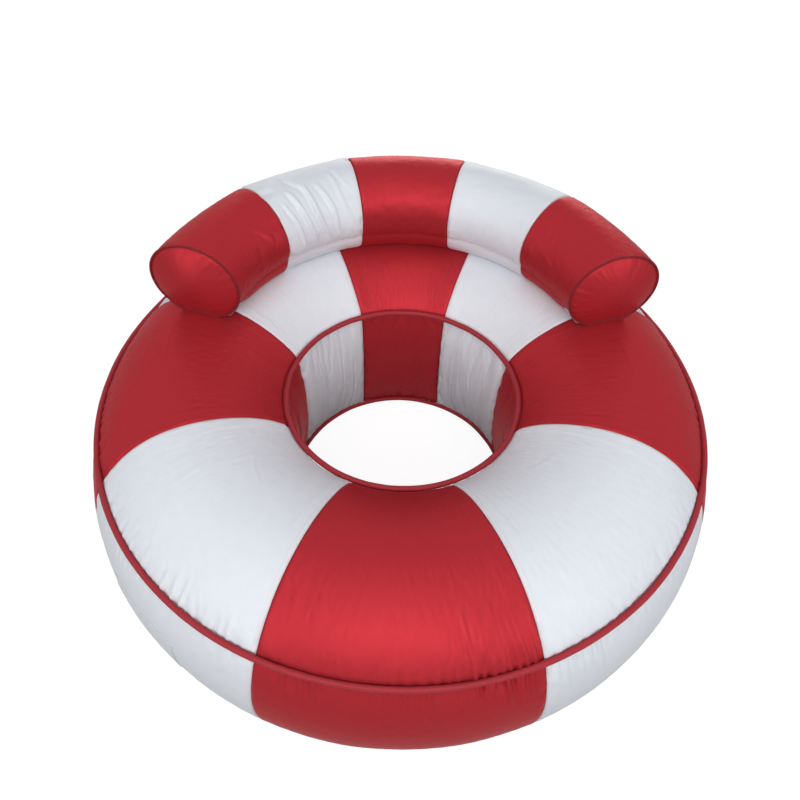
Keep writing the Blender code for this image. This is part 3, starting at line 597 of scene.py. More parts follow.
def blowUp(patches, air):
    # how far each point of the coarse panels moves when air presses from inside
    copy = clothCopy(patches, air)
    cloth = copy.modifiers.new("air", "CLOTH")
    settings = cloth.settings
    settings.quality = air["quality"]
    settings.mass = air["mass"]
    settings.tension_stiffness = settings.compression_stiffness = air["stretching"]
    settings.shear_stiffness = air["shearing"]
    settings.bending_stiffness = air["bending"]
    settings.vertex_group_mass = "seams"
    settings.vertex_group_shrink = "taut"
    settings.shrink_max = -air["slack"]
    settings.shrink_min = -air["slack"] - air["gather"]
    settings.use_pressure = True
    settings.uniform_pressure_force = air["pressure"]
    settings.effector_weights.gravity = 0
    cloth.collision_settings.use_collision = False
    cloth.collision_settings.use_self_collision = False
    cloth.point_cache.frame_start, cloth.point_cache.frame_end = 1, air["frames"]
    for number in range(1, air["frames"] + 1):
        bpy.context.scene.frame_set(number)
    applyModifiers(copy)
    bpy.context.scene.frame_set(1)
    blown = np.zeros(len(copy.data.vertices) * 3)
    copy.data.vertices.foreach_get("co", blown)
    blown = blown.reshape(-1, 3)
    bpy.data.objects.remove(copy)
    first = 0
    for patch in patches:
        count = patch["points"].size // 3
        moved = blown[first:first + count].reshape(patch["points"].shape) - patch["points"]
        out = np.cross(np.gradient(patch["points"], axis=0), np.gradient(patch["points"], axis=1))
        out /= np.maximum(np.linalg.norm(out, axis=-1, keepdims=True), 1e-12)
        depth = (moved * out).sum(axis=-1, keepdims=True)
        moved = moved + np.maximum(-air["mostDent"] - depth, 0) * out
        reach = np.linalg.norm(moved, axis=-1, keepdims=True)
        patch["moved"] = moved / np.maximum(1.0, reach / air["mostMove"]) * patch["free"][..., None]
        first += count


def airPatch(surface, lengths, firstAngle, lastAngle, widest, gather, air, lying):
    # one coarse panel; surface gives points for lengths up the panel and angles round the ring
    rows = marks(lengths, air["rowStep"], air["edgeRows"])
    width = math.radians(lastAngle - firstAngle) * widest
    columns = marks(width, air["columnStep"], (0.0, 0.0035))
    angles = firstAngle + columns / width * (lastAngle - firstAngle)
    points = surface(rows, angles)
    free = 1.0 - lying(points)
    for node in ("ring_valve_base", "headrest_valve_stem"):
        centre = np.array(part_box(node)).mean(axis=0)
        away = np.linalg.norm(points - centre, axis=-1) / air["stillRadius"]
        free = free * np.clip(away - 0.6, 0, 1) ** 0.5
    return {"rows": rows, "angles": angles, "points": points, "free": free,
            "gather": gather(rows, angles)}


def airMove(patches, name, rows, angles):
    # the same move for the fine panel's points
    patch = patches.get(name)
    if patch is None or "moved" not in patch:
        return 0.0
    down = smoothRead(patch["moved"], patch["rows"], rows)
    return smoothRead(down.swapaxes(0, 1), patch["angles"], angles).swapaxes(0, 1)


# ring cover

coverFolds = {
    "seamDip": 0.0016,            # how deep a sewn seam lies below the cloth beside it
    "seamWidth": 0.0032,
    "pipingDip": {"top": (0.0024, 0.0024), "side": (0.0024, 0.0007), "inner": (0.0007, 0.0024)},
    "pipingWidth": 0.0052,
    "wave": 0.0007,               # slow unevenness of the whole surface
    "waveLength": 0.11,
    "puckerPitch": 0.011,
    "puckerReach": 0.034,
    "pucker": 0.0005,             # height of the finest folds where the cloth is fully gathered
    # how much cloth is gathered in the two long seams (first, second) of a wall or panel, 0 to 1
    "gathered": {"top": (0.05, 0.22), "top_front": (0.03, 0.06), "top_front_left": (0.05, 0.30),
                 "side": (0.28, 0.15), "side_front": (0.22, 0.15), "inner": (0.30, 0.34)},
    "gatherReach": {"top": 0.042, "side": 0.034, "inner": 0.085},
    "crossGather": 0.04,
    "crossPuckers": (0.0002, 0.011, 0.028),                 # height, pitch and reach at the cross seams
    # places with more: panel, azimuth, half width in degrees, how much more
    "gathers": [
        ("top_front", 15.5, 6.0, 0.42),
        ("side_front", 14.0, 6.0, 0.25),
        ("side_front_right", 26.5, 4.0, 0.30),
        ("top_front_left", -38.0, 9.0, 0.30),
        ("side_front_left", -52.0, 10.0, 0.30),
        ("top_left", -75.0, 6.0, 0.30),
        ("top_back_right", 150.0, 9.0, 0.30),
    ],
    # narrow folds that stand on the outer piping: panel, from and to azimuth, number, length, height
    "tucks": [
        ("top_front", 10.5, 22.0, 8, 0.120, 0.0027),
        ("top_front", -4.0, 10.0, 7, 0.085, 0.0010),
        ("top_front", -20.0, -8.0, 3, 0.040, 0.0004),
        ("side_front", 10.5, 21.0, 7, 0.090, 0.0085),
        ("side_front", -3.0, 8.0, 4, 0.070, 0.0036),
        ("side_front", -19.0, -12.0, 3, 0.075, 0.0038),
        ("side_front_right", 23.2, 32.5, 6, 0.090, 0.0064),
        ("side_front_right", 38.0, 62.0, 7, 0.036, 0.0022),
        ("top_front_right", 24.0, 46.0, 8, 0.050, 0.0012),
        ("top_front_left", -43.0, -27.0, 7, 0.070, 0.0024),
        ("top_front_left", -62.0, -50.0, 5, 0.055, 0.0018),
        ("side_front_left", -66.0, -30.0, 12, 0.040, 0.0026),
        ("top_left", -86.0, -69.0, 7, 0.045, 0.0008),
        ("side_left", -100.0, -72.0, 9, 0.040, 0.0008),
        ("top_right", 72.0, 90.0, 7, 0.045, 0.0008),
        ("side_right", 74.0, 108.0, 9, 0.045, 0.0009),
        ("top_back_right", 115.0, 154.0, 12, 0.050, 0.0009),
        ("side_back_right", 138.0, 156.0, 7, 0.045, 0.0010),
        ("top_back", 160.0, 200.0, 12, 0.050, 0.0009),
        ("side_back", 160.0, 196.0, 11, 0.045, 0.0010),
        ("top_back_left", -155.0, -118.0, 12, 0.050, 0.0009),
        ("side_back_left", -150.0, -120.0, 10, 0.045, 0.0009),
    ],
    # single soft folds: panel, (azimuth, metres up from the first seam) twice, width, height
    "creases": [
        ("top_left", (-76.0, 0.290), (-98.0, 0.300), 0.0030, 0.0008),
        ("top_left", (-84.0, 0.245), (-103.0, 0.262), 0.0030, 0.0009),
        ("top_left", (-72.0, 0.170), (-84.0, 0.182), 0.0028, 0.0006),
        ("top_right", (84.0, 0.235), (104.0, 0.215), 0.0030, 0.0008),
        ("top_right", (78.0, 0.160), (92.0, 0.150), 0.0028, 0.0006),
        ("top_front_right", (44.0, 0.100), (55.0, 0.125), 0.0030, 0.0008),
        ("top_front_left", (-50.0, 0.120), (-40.0, 0.160), 0.0030, 0.0006),
        ("inner_back_left", (-131.4, 0.002), (-127.0, 0.255), 0.0020, -0.0044),
        ("inner_back_left", (-149.0, 0.015), (-149.8, 0.200), 0.0024, -0.0018),
        ("inner_back_left", (-143.0, 0.090), (-141.6, 0.240), 0.0024, -0.0016),
        ("inner_back_right", (155.2, -0.040), (154.8, 0.300), 0.0020, -0.0042),
        ("inner_back_right", (147.2, 0.030), (147.8, 0.230), 0.0020, -0.0022),
        ("inner_back_right", (151.2, 0.080), (151.6, 0.210), 0.0020, -0.0018),
        ("inner_back_right", (141.2, 0.005), (142.6, 0.190), 0.0020, -0.0040),
        ("inner_back_right", (138.4, 0.000), (139.2, 0.120), 0.0020, -0.0038),
        ("inner_back_right", (134.0, 0.040), (134.8, 0.215), 0.0020, -0.0022),
    ],
    # the cloth swells over the outer piping: how far, and how far from the seam
    "lip": {"top": (0.0016, 0.012), "top_front": (0.0040, 0.015)},
    "lipEnd": 0.045,              # and how softly the swell ends
    "lipSide": 0.020,             # and it fades towards the cross seams over this width
}


def ringSurface(line, shape):
    # one wall of the ring: lengths along its section line, angles round the ring
    return lambda rows, angles: swept(pointsAt(line, rows)[0], angles, shape)


def ringGather(panel, length, middle, folds):
    # how much the cloth is gathered at each place of a panel, from 0 to 1
    wall, stripe = panel.split("_", 1)
    reach = folds["gatherReach"][wall]

    def gather(rows, angles):
        up, angle = np.broadcast_arrays(rows[:, None], angles[None, :])
        first, second = folds["gathered"].get(panel, folds["gathered"][wall])
        for where, place, half, extra in folds["gathers"]:
            if where == panel:
                swell = extra * bell(angle - place, half)
                first, second = (first + swell, second) if wall == "side" else (first, second + swell)
        patchy = 1 + 0.5 * unevenness(angle / 6.5, 0 * up, len(stripe) + 31)
        along = first * bell(up, reach) + second * bell(length - up, reach)
        across = (stripeAngle / 2 - np.abs(angle - middle)) / stripeAngle * 12
        return np.clip(along * patchy + folds["crossGather"] * np.exp(-across ** 2), 0, 1)
    return gather


def underHeadrest(points):
    # 1 where the headrest lies on the ring's crown, falling off round it
    radius = np.linalg.norm(points[..., :2], axis=-1)
    angle = np.abs(np.degrees(np.arctan2(points[..., 0], points[..., 1])))
    near = np.interp(radius, [0.335, 0.362, 0.470, 0.500], [0, 1, 1, 0]) * np.interp(angle, [72, 78], [1, 0])
    return near * (points[..., 2] > 0.33)


def ringPanel(stripe, wall, line, folds, shape):
    index, panel = stripeNames.index(stripe), f"{wall}_{stripe}"
    middle = stripeMiddle(index)
    length, widest = lengthsAlong(line)[-1], line[:, 0].max()
    rows = marks(length, shape["panelStep"])
    width = math.radians(stripeAngle) * widest
    columns = marks(width, shape["finerSteps"].get(panel, shape["panelStep"])) - width / 2
    azimuth = middle + np.degrees(columns / widest)
    up, angle = np.broadcast_arrays(rows[:, None], np.radians(azimuth)[None, :])
    spots, outwards = pointsAt(line, rows)
    radius = spots[:, :1] * shape["roundness"]
    share = columns[None, :] / (width / 2)
    across = np.abs(1 - np.abs(share)) * math.radians(stripeAngle / 2) * radius     # from the nearest cross seam
    seed = 11 * index + {"top": 1, "side": 2, "inner": 3}[wall] * 97

    rise = folds["wave"] * unevenness(angle * radius / folds["waveLength"], up / folds["waveLength"], seed)
    pitch, reach = folds["puckerPitch"], folds["puckerReach"]
    fine = puckers(angle * radius, up, pitch, reach, seed + 5)
    fine = fine + puckers(angle * radius, length - up, pitch, reach, seed + 6)
    rise = rise + folds["pucker"] * ringGather(panel, length, middle, folds)(rows, azimuth) ** 0.5 * fine
    height, pitch, reach = folds["crossPuckers"]
    rise = rise + height * puckers(up, across, pitch, reach, seed + 7)
    outerSeam = up if wall == "side" else length - up
    for number, (where, start, end, count, reach, height) in enumerate(folds["tucks"]):
        if where == panel:
            feet = np.radians((start, end)) * widest
            rise = rise + tucks(angle * widest, outerSeam, *feet, count, reach, height, 40 + number)
    rise = rise + creasesOf(panel, folds, azimuth, rows, 0.24 if wall == "inner" else 0.42)
    if wall == "top":
        lip, away = folds["lip"].get(panel, folds["lip"][wall])
        climb = np.clip(outerSeam / away, 0, 1)
        fall = bell(np.maximum(outerSeam - away, 0), folds["lipEnd"])
        rise = rise + lip * (1 - bell(across, folds["lipSide"])) * climb * climb * (3 - 2 * climb) * fall
    rise = rise - folds["seamDip"] * bell(across, folds["seamWidth"], 1.5)
    for dip, away in zip(folds["pipingDip"][wall], (up, length - up)):
        rise = rise - dip * bell(away, folds["pipingWidth"], 1.5)

    points = swept(spots, azimuth, shape, rise, outwards) + airMove(ringPatches, panel, rows, azimuth)
    cloth = np.stack([math.radians(stripeAngle) * share / 2 * radius, up], -1)
    return giveThickness(clothMesh(f"cover_{panel}", points, cloth, across), shape["clothThickness"])


lines = ringLines(ringShape)
ringPatches = {}
for wall, line in lines.items():
    length, widest = lengthsAlong(line)[-1], line[:, 0].max()
    for number, stripe in enumerate(stripeNames):
        panel, middle = f"{wall}_{stripe}", stripeMiddle(number)
        ringPatches[panel] = airPatch(
            ringSurface(line, ringShape), length, middle - stripeAngle / 2, middle + stripeAngle / 2, widest,
            ringGather(panel, length, middle, coverFolds), coverAir, underHeadrest)
blowUp(list(ringPatches.values()), coverAir)
print("air pressed into the ring cover")
for wall, line in lines.items():
    for number, stripe in enumerate(stripeNames):
        fitStripe(ringPanel(stripe, wall, line, coverFolds, ringShape), number, f"ring_{wall}_panel_{stripe}")
print("ring cover made")


# piping: a cord in a strip of red cloth, sewn into each long seam

pipingSetup = {
    # centre's radius, its height, the piping's own radius
    "outer_top": (0.5801, 0.2968, 0.0055),
    "inner_top": (0.2276, 0.2993, 0.0055),
    "outer_base": (0.5774, 0.0197, 0.0045),
    "inner_base": (0.2313, 0.0100, 0.0045),
    "sides": 16,
    "step": 0.0050,
    "swell": 0.035,               # uneven thickness, as a share of the radius
    "waver": 0.0004,              # how far the seam wanders
}


def tubeMesh(name, path, radius, sides, swell, seed):
    # a round tube along a closed path; its cloth map runs along and round it, in metres
    along = np.roll(path, -1, axis=0) - np.roll(path, 1, axis=0)
    along /= np.linalg.norm(along, axis=1)[:, None]
    first = np.zeros_like(path)
    side = np.array([1.0, 0.0, 0.0] if abs(along[0, 2]) > 0.9 else [0.0, 0.0, 1.0])
    for index, way in enumerate(along):
        side = side - way * side.dot(way)
        side = side / np.linalg.norm(side)
        first[index] = side
    arriving = first[-1] - along[0] * first[-1].dot(along[0])
    arriving /= np.linalg.norm(arriving)
    twist = math.atan2(np.cross(first[0], arriving).dot(along[0]), first[0].dot(arriving))
    turn = -twist * np.arange(len(path)) / (len(path) - 1)       # the twist that is left is spread along the tube
    first = first * np.cos(turn)[:, None] + np.cross(along, first) * np.sin(turn)[:, None]
    second = np.cross(along, first)
    angle = np.arange(sides) * 2 * math.pi / sides
    reach = lengthsAlong(path)
    thick = radius * (1 + swell * unevenness(reach[:, None] / 0.021, angle[None, :] * 1.3, seed))
    points = path[:, None] + thick[..., None] * (np.cos(angle)[None, :, None] * first[:, None]
                                                  + np.sin(angle)[None, :, None] * second[:, None])
    across = np.arange(sides + 1) * 2 * math.pi * radius / sides
    total = reach[-1] + np.linalg.norm(path[0] - path[-1])
    cloth = np.stack(np.broadcast_arrays(np.append(reach, total)[:, None], across[None, :]), -1)
    return weldPiece(clothMesh(name, np.vstack([points, points[:1]]), cloth, looped=True), 1e-7)


def ringPiping(name, setup, shape, seed):
    radius, height, thick = setup[name]
    count = round(2 * math.pi * radius / setup["step"])
    azimuth = np.arange(count) * 360.0 / count
    angle = np.radians(azimuth)
    wander = setup["waver"] * unevenness(np.cos(angle) * 6, np.sin(angle) * 6, seed)
    path = carried((radius + wander) * shape["roundness"], azimuth, height + wander * 0.7)
    return tubeMesh(f"piping_cord_{name}", path, thick, setup["sides"], setup["swell"], seed)


for number, seamName in enumerate(("outer_top", "inner_top", "outer_base", "inner_base")):
    fitOut(ringPiping(seamName, pipingSetup, ringShape, 40 + number), redPipingCloth, [f"piping_{seamName}"],
           "red_piping")
print("piping made")


# base: one ring of white cloth under the bladder, with the zip's slot at the back

baseSetup = {
    "slotHalf": 30.0,             # degrees to each side of the back
    "slotEdge": (0.5399, 0.0027),
    "corner": 0.010,
    "step": 0.0095,
    "pucker": (0.0006, 0.016, 0.05),          # height, pitch and reach of the folds at its seams
}


def baseLine(shape, setup):
    # seam, slope, a rounded corner, floor, rounded corner, slope, seam
    outer, inner = shape["outerBase"], shape["innerBase"]
    rim, hole = (shape["floorOuter"], 0.0), (shape["floorInner"], 0.0)
    line = np.vstack([np.linspace(outer, rim, 60), np.linspace(rim, hole, 240)[1:], np.linspace(hole, inner, 50)[1:]])
    even = np.linspace(0, lengthsAlong(line)[-1], 1200)
    line = resample(line, len(even))
    window = max(3, int(setup["corner"] / (even[1] - even[0])))
    soft = blur(np.pad(line, ((window // 2, window // 2), (0, 0)), "edge"), np.ones(window))[:len(line)]
    fade = np.clip(np.minimum(even, even[-1] - even) / 0.02, 0, 1)[:, None]
    return line * (1 - fade) + soft * fade


def makeBase(shape, setup):
    line = baseLine(shape, setup)
    length = lengthsAlong(line)[-1]
    slotAt = math.dist(shape["outerBase"], setup["slotEdge"])
    rows = np.concatenate([np.linspace(0, slotAt, 8), np.linspace(slotAt, length, round(length / setup["step"]))[1:]])
    half = setup["slotHalf"]
    inside = np.linspace(180 - half, 180 + half, 61)
    outside = np.linspace(180 + half, 540 - half, 361)[1:-1]
    azimuth = np.concatenate([inside, outside])
    spots, outwards = pointsAt(line, rows)
    alongRing = np.radians(azimuth)[None, :] * spots[:, :1] * shape["roundness"]
    up = rows[:, None] + 0 * alongRing
    height, pitch, reach = setup["pucker"]
    rise = height * puckers(alongRing, up, pitch, reach, 301)
    rise = rise + height * puckers(alongRing, length - up, pitch, reach, 302)
    points = swept(spots, azimuth, shape, rise, outwards)
    points[..., 2] = np.maximum(points[..., 2], 0.0)
    closing = np.concatenate([azimuth, [540 - half]])
    cloth = np.stack(np.broadcast_arrays(np.radians(closing)[None, :] * 0.4, rows[:, None]), -1)
    piece = clothMesh("cover_base", points, cloth, looped=True)
    work = bmesh.new()
    work.from_mesh(piece.data)
    work.faces.ensure_lookup_table()
    columns = len(azimuth)
    slot = [work.faces[r * columns + c] for r in range(7) for c in range(60)]
    bmesh.ops.delete(work, geom=slot, context="FACES")
    work.to_mesh(piece.data)
    work.free()
    return giveThickness(piece, shape["clothThickness"])


fitOut(makeBase(ringShape, baseSetup), whiteSatin, ["ring_base_panel"], "white_fabric")
print("base made")


# headrest: a bolster bent round the back of the ring, five stripes of cloth

restShape = {
    "centre": (0.4230, 0.4569),
    "halfDepth": 0.094,
    "halfHeight": 0.0845,
    "tilt": -12.7,
    "frontSeam": 217.0,
    "zipTop": -22.0,
    "rearSeam": -38.0,
    "frontContact": 0.3665,
    "rearContact": 0.4590,
    "underBulge": 0.006,
    "edges": (-72.2, -44.5, -15.4, 15.4, 44.5, 72.2),
    "names": ("right_end", "right", "centre", "left", "left_end"),
    "roundFrom": 60.0,            # towards its ends the section gets rounder, from here on
    "widest": 0.515,              # radius that the spacing of the points is measured at
    "endDome": 0.026,
    "endPucker": (0.0020, 0.015, 0.040),      # height, pitch and reach of the folds that run in from the piping
    "endWave": (0.0022, 0.06),                # height and length of its slow unevenness
    "endDip": (0.0016, 0.0035),               # depth and width of the dip at the piping
    "endPiping": 0.0026,
    "step": 0.0042,
    "roundness": 0.9985,
}

restFolds = {
    # share, pitch and reach of the fine folds at the cross seams, the front seam and the rear seam
    "puckers": ((1.0, 0.013, 0.045), (0.7, 0.013, 0.035), (0.5, 0.015, 0.035)),
    "seamDip": 0.0015,
    "seamWidth": 0.0030,
    "ridge": 0.0016,              # the front seam stands up as a thin ridge of the cloth itself
    "ridgeWidth": 0.0013,
    "valley": 0.0014,
    "valleyWidth": 0.006,
    "endSeam": 0.3,               # on the red ends the front seam is flatter
    "wave": 0.0007,
    "waveLength": 0.09,
    "pucker": {"right_end": 0.0006, "right": 0.0006, "centre": 0.0005, "left": 0.0011, "left_end": 0.0006},
    "gathered": {"right_end": 0.30, "right": 0.35, "centre": 0.25, "left": 0.60, "left_end": 0.30},
    "gatherReach": 0.050,
    # single folds: place, (azimuth, metres up from the front seam) twice, width, height
    "creases": [
        ("left", (203.6, 0.035), (208.0, 0.150), 0.0042, 0.0058),
        ("left", (208.4, 0.025), (213.0, 0.165), 0.0046, 0.0078),
        ("left", (213.4, 0.025), (217.4, 0.150), 0.0044, 0.0072),
        ("left", (218.0, 0.025), (220.6, 0.125), 0.0036, 0.0054),
        ("left", (199.8, 0.050), (203.4, 0.170), 0.0038, 0.0038),
        ("left", (198.5, 0.110), (201.5, 0.190), 0.0034, 0.0022),
        ("left", (213.0, 0.140), (216.0, 0.200), 0.0034, 0.0024),
        ("left_end", (229.0, 0.070), (235.0, 0.110), 0.0045, 0.0018),
        ("left_end", (236.0, 0.040), (246.0, 0.075), 0.0045, 0.0016),
        ("right_end", (118.0, 0.040), (127.0, 0.070), 0.0045, 0.0014),
    ],
}


def ovalPoint(shape, angle):
    across = shape["halfDepth"] * np.cos(np.radians(angle))
    up = shape["halfHeight"] * np.sin(np.radians(angle))
    turn = math.radians(shape["tilt"])
    return np.stack([shape["centre"][0] + across * math.cos(turn) - up * math.sin(turn),
                     shape["centre"][1] + across * math.sin(turn) + up * math.cos(turn)], -1)


def soften(line, window):
    # rounds the corners of an evenly sampled line and keeps its ends
    padded = np.vstack([2 * line[0] - line[1:window + 1][::-1], line, 2 * line[-1] - line[-window - 1:-1][::-1]])
    return blur(padded, np.hanning(2 * window + 3)[1:-1])


def closedResample(loop, count):
    return resample(np.vstack([loop, loop[:1]]), count + 1)[:-1]


def restLines(shape, crown):
    # over: front seam over the top to the zip. under: rear seam, crown of the ring, front seam
    over = ovalPoint(shape, np.linspace(shape["frontSeam"], shape["zipTop"], 500))
    zipFlat = np.linspace(over[-1], ovalPoint(shape, shape["rearSeam"]), 40)
    above = crown + np.array([0.0, 0.0004])

    def lying(near, far):
        radius = np.linspace(far, near, 200)
        return np.stack([radius, np.interp(radius, above[:, 0], above[:, 1])], -1)

    rear = np.linspace(shape["rearSeam"], -54.0, 60)
    middle = np.vstack([ovalPoint(shape, rear), lying(shape["frontContact"], shape["rearContact"]),
                        bow(lying(shape["frontContact"], shape["rearContact"])[-1], over[0],
                            shape["underBulge"], 80)])
    angles = np.linspace(shape["rearSeam"] + 360, shape["frontSeam"], 400)
    ending = ovalPoint(shape, angles)
    ending[:, 1] = np.maximum(ending[:, 1], np.interp(ending[:, 0], above[:, 0], above[:, 1]))
    under = {key: soften(resample(line, 500), 14) for key, line in (("middle", middle), ("ending", ending))}
    return over, zipFlat, under


def restSection(line, endLine, rows, azimuth, shape):
    # the section line turns into the end's line towards the two ends of the headrest
    towards = np.clip((np.abs(azimuth - 180) - shape["roundFrom"]) / (shape["edges"][-1] - shape["roundFrom"]), 0, 1)
    towards = (towards * towards * (3 - 2 * towards))[None, :, None]
    spots, outwards = pointsAt(line, rows)
    endSpots, endOutwards = pointsAt(endLine, rows / lengthsAlong(line)[-1] * lengthsAlong(endLine)[-1])
    return (spots[:, None] * (1 - towards) + endSpots[:, None] * towards,
            outwards[:, None] * (1 - towards) + endOutwards[:, None] * towards)


def restSurface(line, endLine, shape):
    return lambda rows, angles: swept(restSection(line, endLine, rows, angles, shape)[0], angles, shape)


def restGather(length, span, amount, folds):
    # the headrest's stripes are gathered a little in all their seams
    def gather(rows, angles):
        across = np.minimum(angles - span[0], span[1] - angles)[None, :] * math.radians(0.42)
        front, rear = rows[:, None], length - rows[:, None]
        reach = folds["gatherReach"]
        near = 0.8 * bell(across, reach) + 0.5 * bell(front, reach) + 0.4 * bell(rear, reach)
        return np.clip(amount * near * (1 + 0.5 * unevenness(angles[None, :] / 5.0, rows[:, None] / 0.06, 3)), 0, 1)
    return gather


def restPanel(place, side, line, endLine, span, shape, folds, seed):
    start, end = span
    length = lengthsAlong(line)[-1]
    rows = marks(length, shape["step"])
    columns = marks(math.radians(end - start) * shape["widest"], shape["step"])
    azimuth = 180 + start + np.degrees(columns / shape["widest"])
    spots, outwards = restSection(line, endLine, rows, azimuth, shape)
    radius = spots[..., 0] * shape["roundness"]
    alongRing = np.radians(azimuth)[None, :] * radius
    share = (azimuth - 180 - start) / (end - start)
    across = np.maximum(np.minimum(share, 1 - share), 0)[None, :] * math.radians(end - start) * radius
    up = rows[:, None] + 0 * across
    fromFront, fromRear = (up, length - up) if side == "top" else (length - up, up)
    strength = folds["pucker"][place]
    rise = folds["wave"] * unevenness(alongRing / folds["waveLength"], up / folds["waveLength"], seed)
    seams = ((up, across), (alongRing, fromFront), (alongRing, fromRear))
    for number, (sides, (part, pitch, reach)) in enumerate(zip(seams, folds["puckers"])):
        rise = rise + part * strength * puckers(*sides, pitch, reach, seed + 1 + number)
    seamShare = folds["endSeam"] if place.endswith("end") else 1.0
    rise = rise - folds["seamDip"] * bell(across, folds["seamWidth"], 1.5)
    rise = rise + seamShare * folds["ridge"] * bell(fromFront, folds["ridgeWidth"])
    rise = rise - seamShare * folds["valley"] * bell(fromFront, folds["valleyWidth"])
    rise = rise - folds["seamDip"] * bell(fromRear, folds["seamWidth"], 1.5)
    if side == "under":                            # it lies flat on the ring
        lies = np.interp(spots[..., 0], [0.372, 0.385, 0.440, 0.452], [0, 1, 1, 0]) * (spots[..., 1] < 0.40)
        rise = rise * (1 - lies)
    else:
        rise = rise + creasesOf(place, folds, azimuth, rows, 0.42, 180)
    points = swept(spots, azimuth, shape, rise, outwards) + airMove(restPatches, f"{side}_{place}", rows, azimuth)
    piece = clothMesh(f"headrest_cover_{side}_{place}", points, np.stack([alongRing, up], -1),
                      np.minimum(across, fromFront + 0.002))
    return giveThickness(piece, ringShape["clothThickness"])


def closedLoop(*lines):
    return np.vstack([lines[0]] + [line[1:] for line in lines[1:-1]] + [lines[-1][1:-1]])


def squareTo(azimuth, way):
    # the direction in which an end of the headrest faces
    turn = math.radians(azimuth)
    return np.array([math.cos(turn), math.sin(turn), 0.0]) * way


def crossSection(line, azimuth, shape):
    # points of a section line at one azimuth
    return carried(line[..., 0] * shape["roundness"], azimuth + 0 * line[..., 0], line[..., 1])


def restEnd(place, loop, azimuth, way, shape, seed):
    # a disc of cloth, domed by the air behind it, with folds that run in from its piping
    edge = closedResample(loop, 240)
    middle = edge.mean(axis=0)
    shares = np.concatenate([1 - np.array([0.0, 0.008, 0.02, 0.038, 0.06, 0.09]), np.linspace(0.88, 0.0, 40)])
    flat = middle + shares[:, None, None] * (edge - middle)
    inwards = (1 - shares)[:, None] * np.linalg.norm(edge - middle, axis=1)[None, :]
    roundEdge = lengthsAlong(np.vstack([edge, edge[:1]]))[:-1][None, :] + 0 * inwards
    rise = shape["endDome"] * (1 - np.clip(shares, 0, 1)[:, None] ** 2.1) + 0 * inwards
    height, pitch, reach = shape["endPucker"]
    rise = rise + height * puckers(roundEdge, inwards, pitch, reach, seed)
    height, wide = shape["endWave"]
    rise = rise + height * unevenness(*np.moveaxis(flat / wide, -1, 0), seed + 1) * (1 - shares[:, None] ** 4)
    dip, wide = shape["endDip"]
    rise = rise - dip * bell(inwards, wide, 1.5)
    square = squareTo(azimuth, way)
    points = crossSection(flat, azimuth, shape) + rise[..., None] * square
    cloth = np.concatenate([flat, flat[:, :1]], axis=1)
    piece = clothMesh(f"headrest_cover_end_{place}", points, cloth, inwards, looped=True)
    work = bmesh.new()
    work.from_mesh(piece.data)
    bmesh.ops.remove_doubles(work, verts=work.verts, dist=1e-6)
    outer = [f for f in work.faces if f.normal.dot(Vector(square)) < 0]
    if len(outer) > len(work.faces) / 2:
        bmesh.ops.reverse_faces(work, faces=work.faces)
    work.to_mesh(piece.data)
    work.free()
    piece.data.shade_smooth()
    return giveThickness(piece, ringShape["clothThickness"])


overLine, zipFlat, underLines = restLines(restShape, lines["top"])
restPatches = {}
for number, place in enumerate(restShape["names"]):
    span = [180 + angle for angle in restShape["edges"][number:number + 2]]
    over = np.vstack([overLine, zipFlat[1:]]) if place.endswith("end") else overLine
    length = lengthsAlong(over)[-1]
    restPatches[f"top_{place}"] = airPatch(
        restSurface(over, over, restShape), length, *span, restShape["widest"],
        restGather(length, span, restFolds["gathered"][place], restFolds), coverAir, lambda points: 0.0)
blowUp(list(restPatches.values()), coverAir)
print("air pressed into the headrest")
for number, place in enumerate(restShape["names"]):
    span = restShape["edges"][number:number + 2]
    over = np.vstack([overLine, zipFlat[1:]]) if place.endswith("end") else overLine
    for side, middle, ending, seed in (("top", over, over, 500),
                                       ("under", underLines["middle"], underLines["ending"], 600)):
        panel = restPanel(place, side, middle, ending, span, restShape, restFolds, seed + 10 * number)
        fitStripe(panel, number, f"headrest_{side}_{place}")

endLoop = closedLoop(overLine, zipFlat, underLines["ending"])
for place, azimuth, way, seed in (("right", 180 - restShape["edges"][-1], -1, 71),
                                  ("left", 180 + restShape["edges"][-1], 1, 72)):
    cap = restEnd(place, endLoop, azimuth, way, restShape, seed)
    fitStripe(cap, 0, f"headrest_end_{place}")
    path = crossSection(closedResample(endLoop, 160), azimuth, restShape)
    trim = tubeMesh(f"headrest_piping_cord_{place}", path, restShape["endPiping"], 12, 0.06, seed + 9)
    # the piping round each disc gets the darker cloth, a painted shade
    fitOut(trim, shadedRimCloth, [f"headrest_piping_{place}"], "red_fabric")
print("headrest made")


# bladders: smooth bags of film that fill the covers

def insideLoop(loop, count, window, depth, finalCount):
    # a rounder loop that lies inside a section loop
    loop = closedResample(loop, count)
    loop = blur(np.vstack([loop[-window:], loop, loop[:window]]), np.hanning(2 * window + 3)[1:-1])
    along = np.roll(loop, -1, axis=0) - np.roll(loop, 1, axis=0)
    along /= np.linalg.norm(along, axis=1)[:, None]
    return closedResample(loop + depth * np.stack([along[:, 1], -along[:, 0]], -1), finalCount)


bladderSetup = {
    "ringInset": 0.0046,
    "ringCorner": 34,             # window that rounds the corners, in points of the loop
    "restInset": 0.0040,
    "restCorner": 16,
    "restEnd": 0.9,               # degrees that it ends before its cover
    "restDome": 0.010,
    "wave": 0.0008,
}


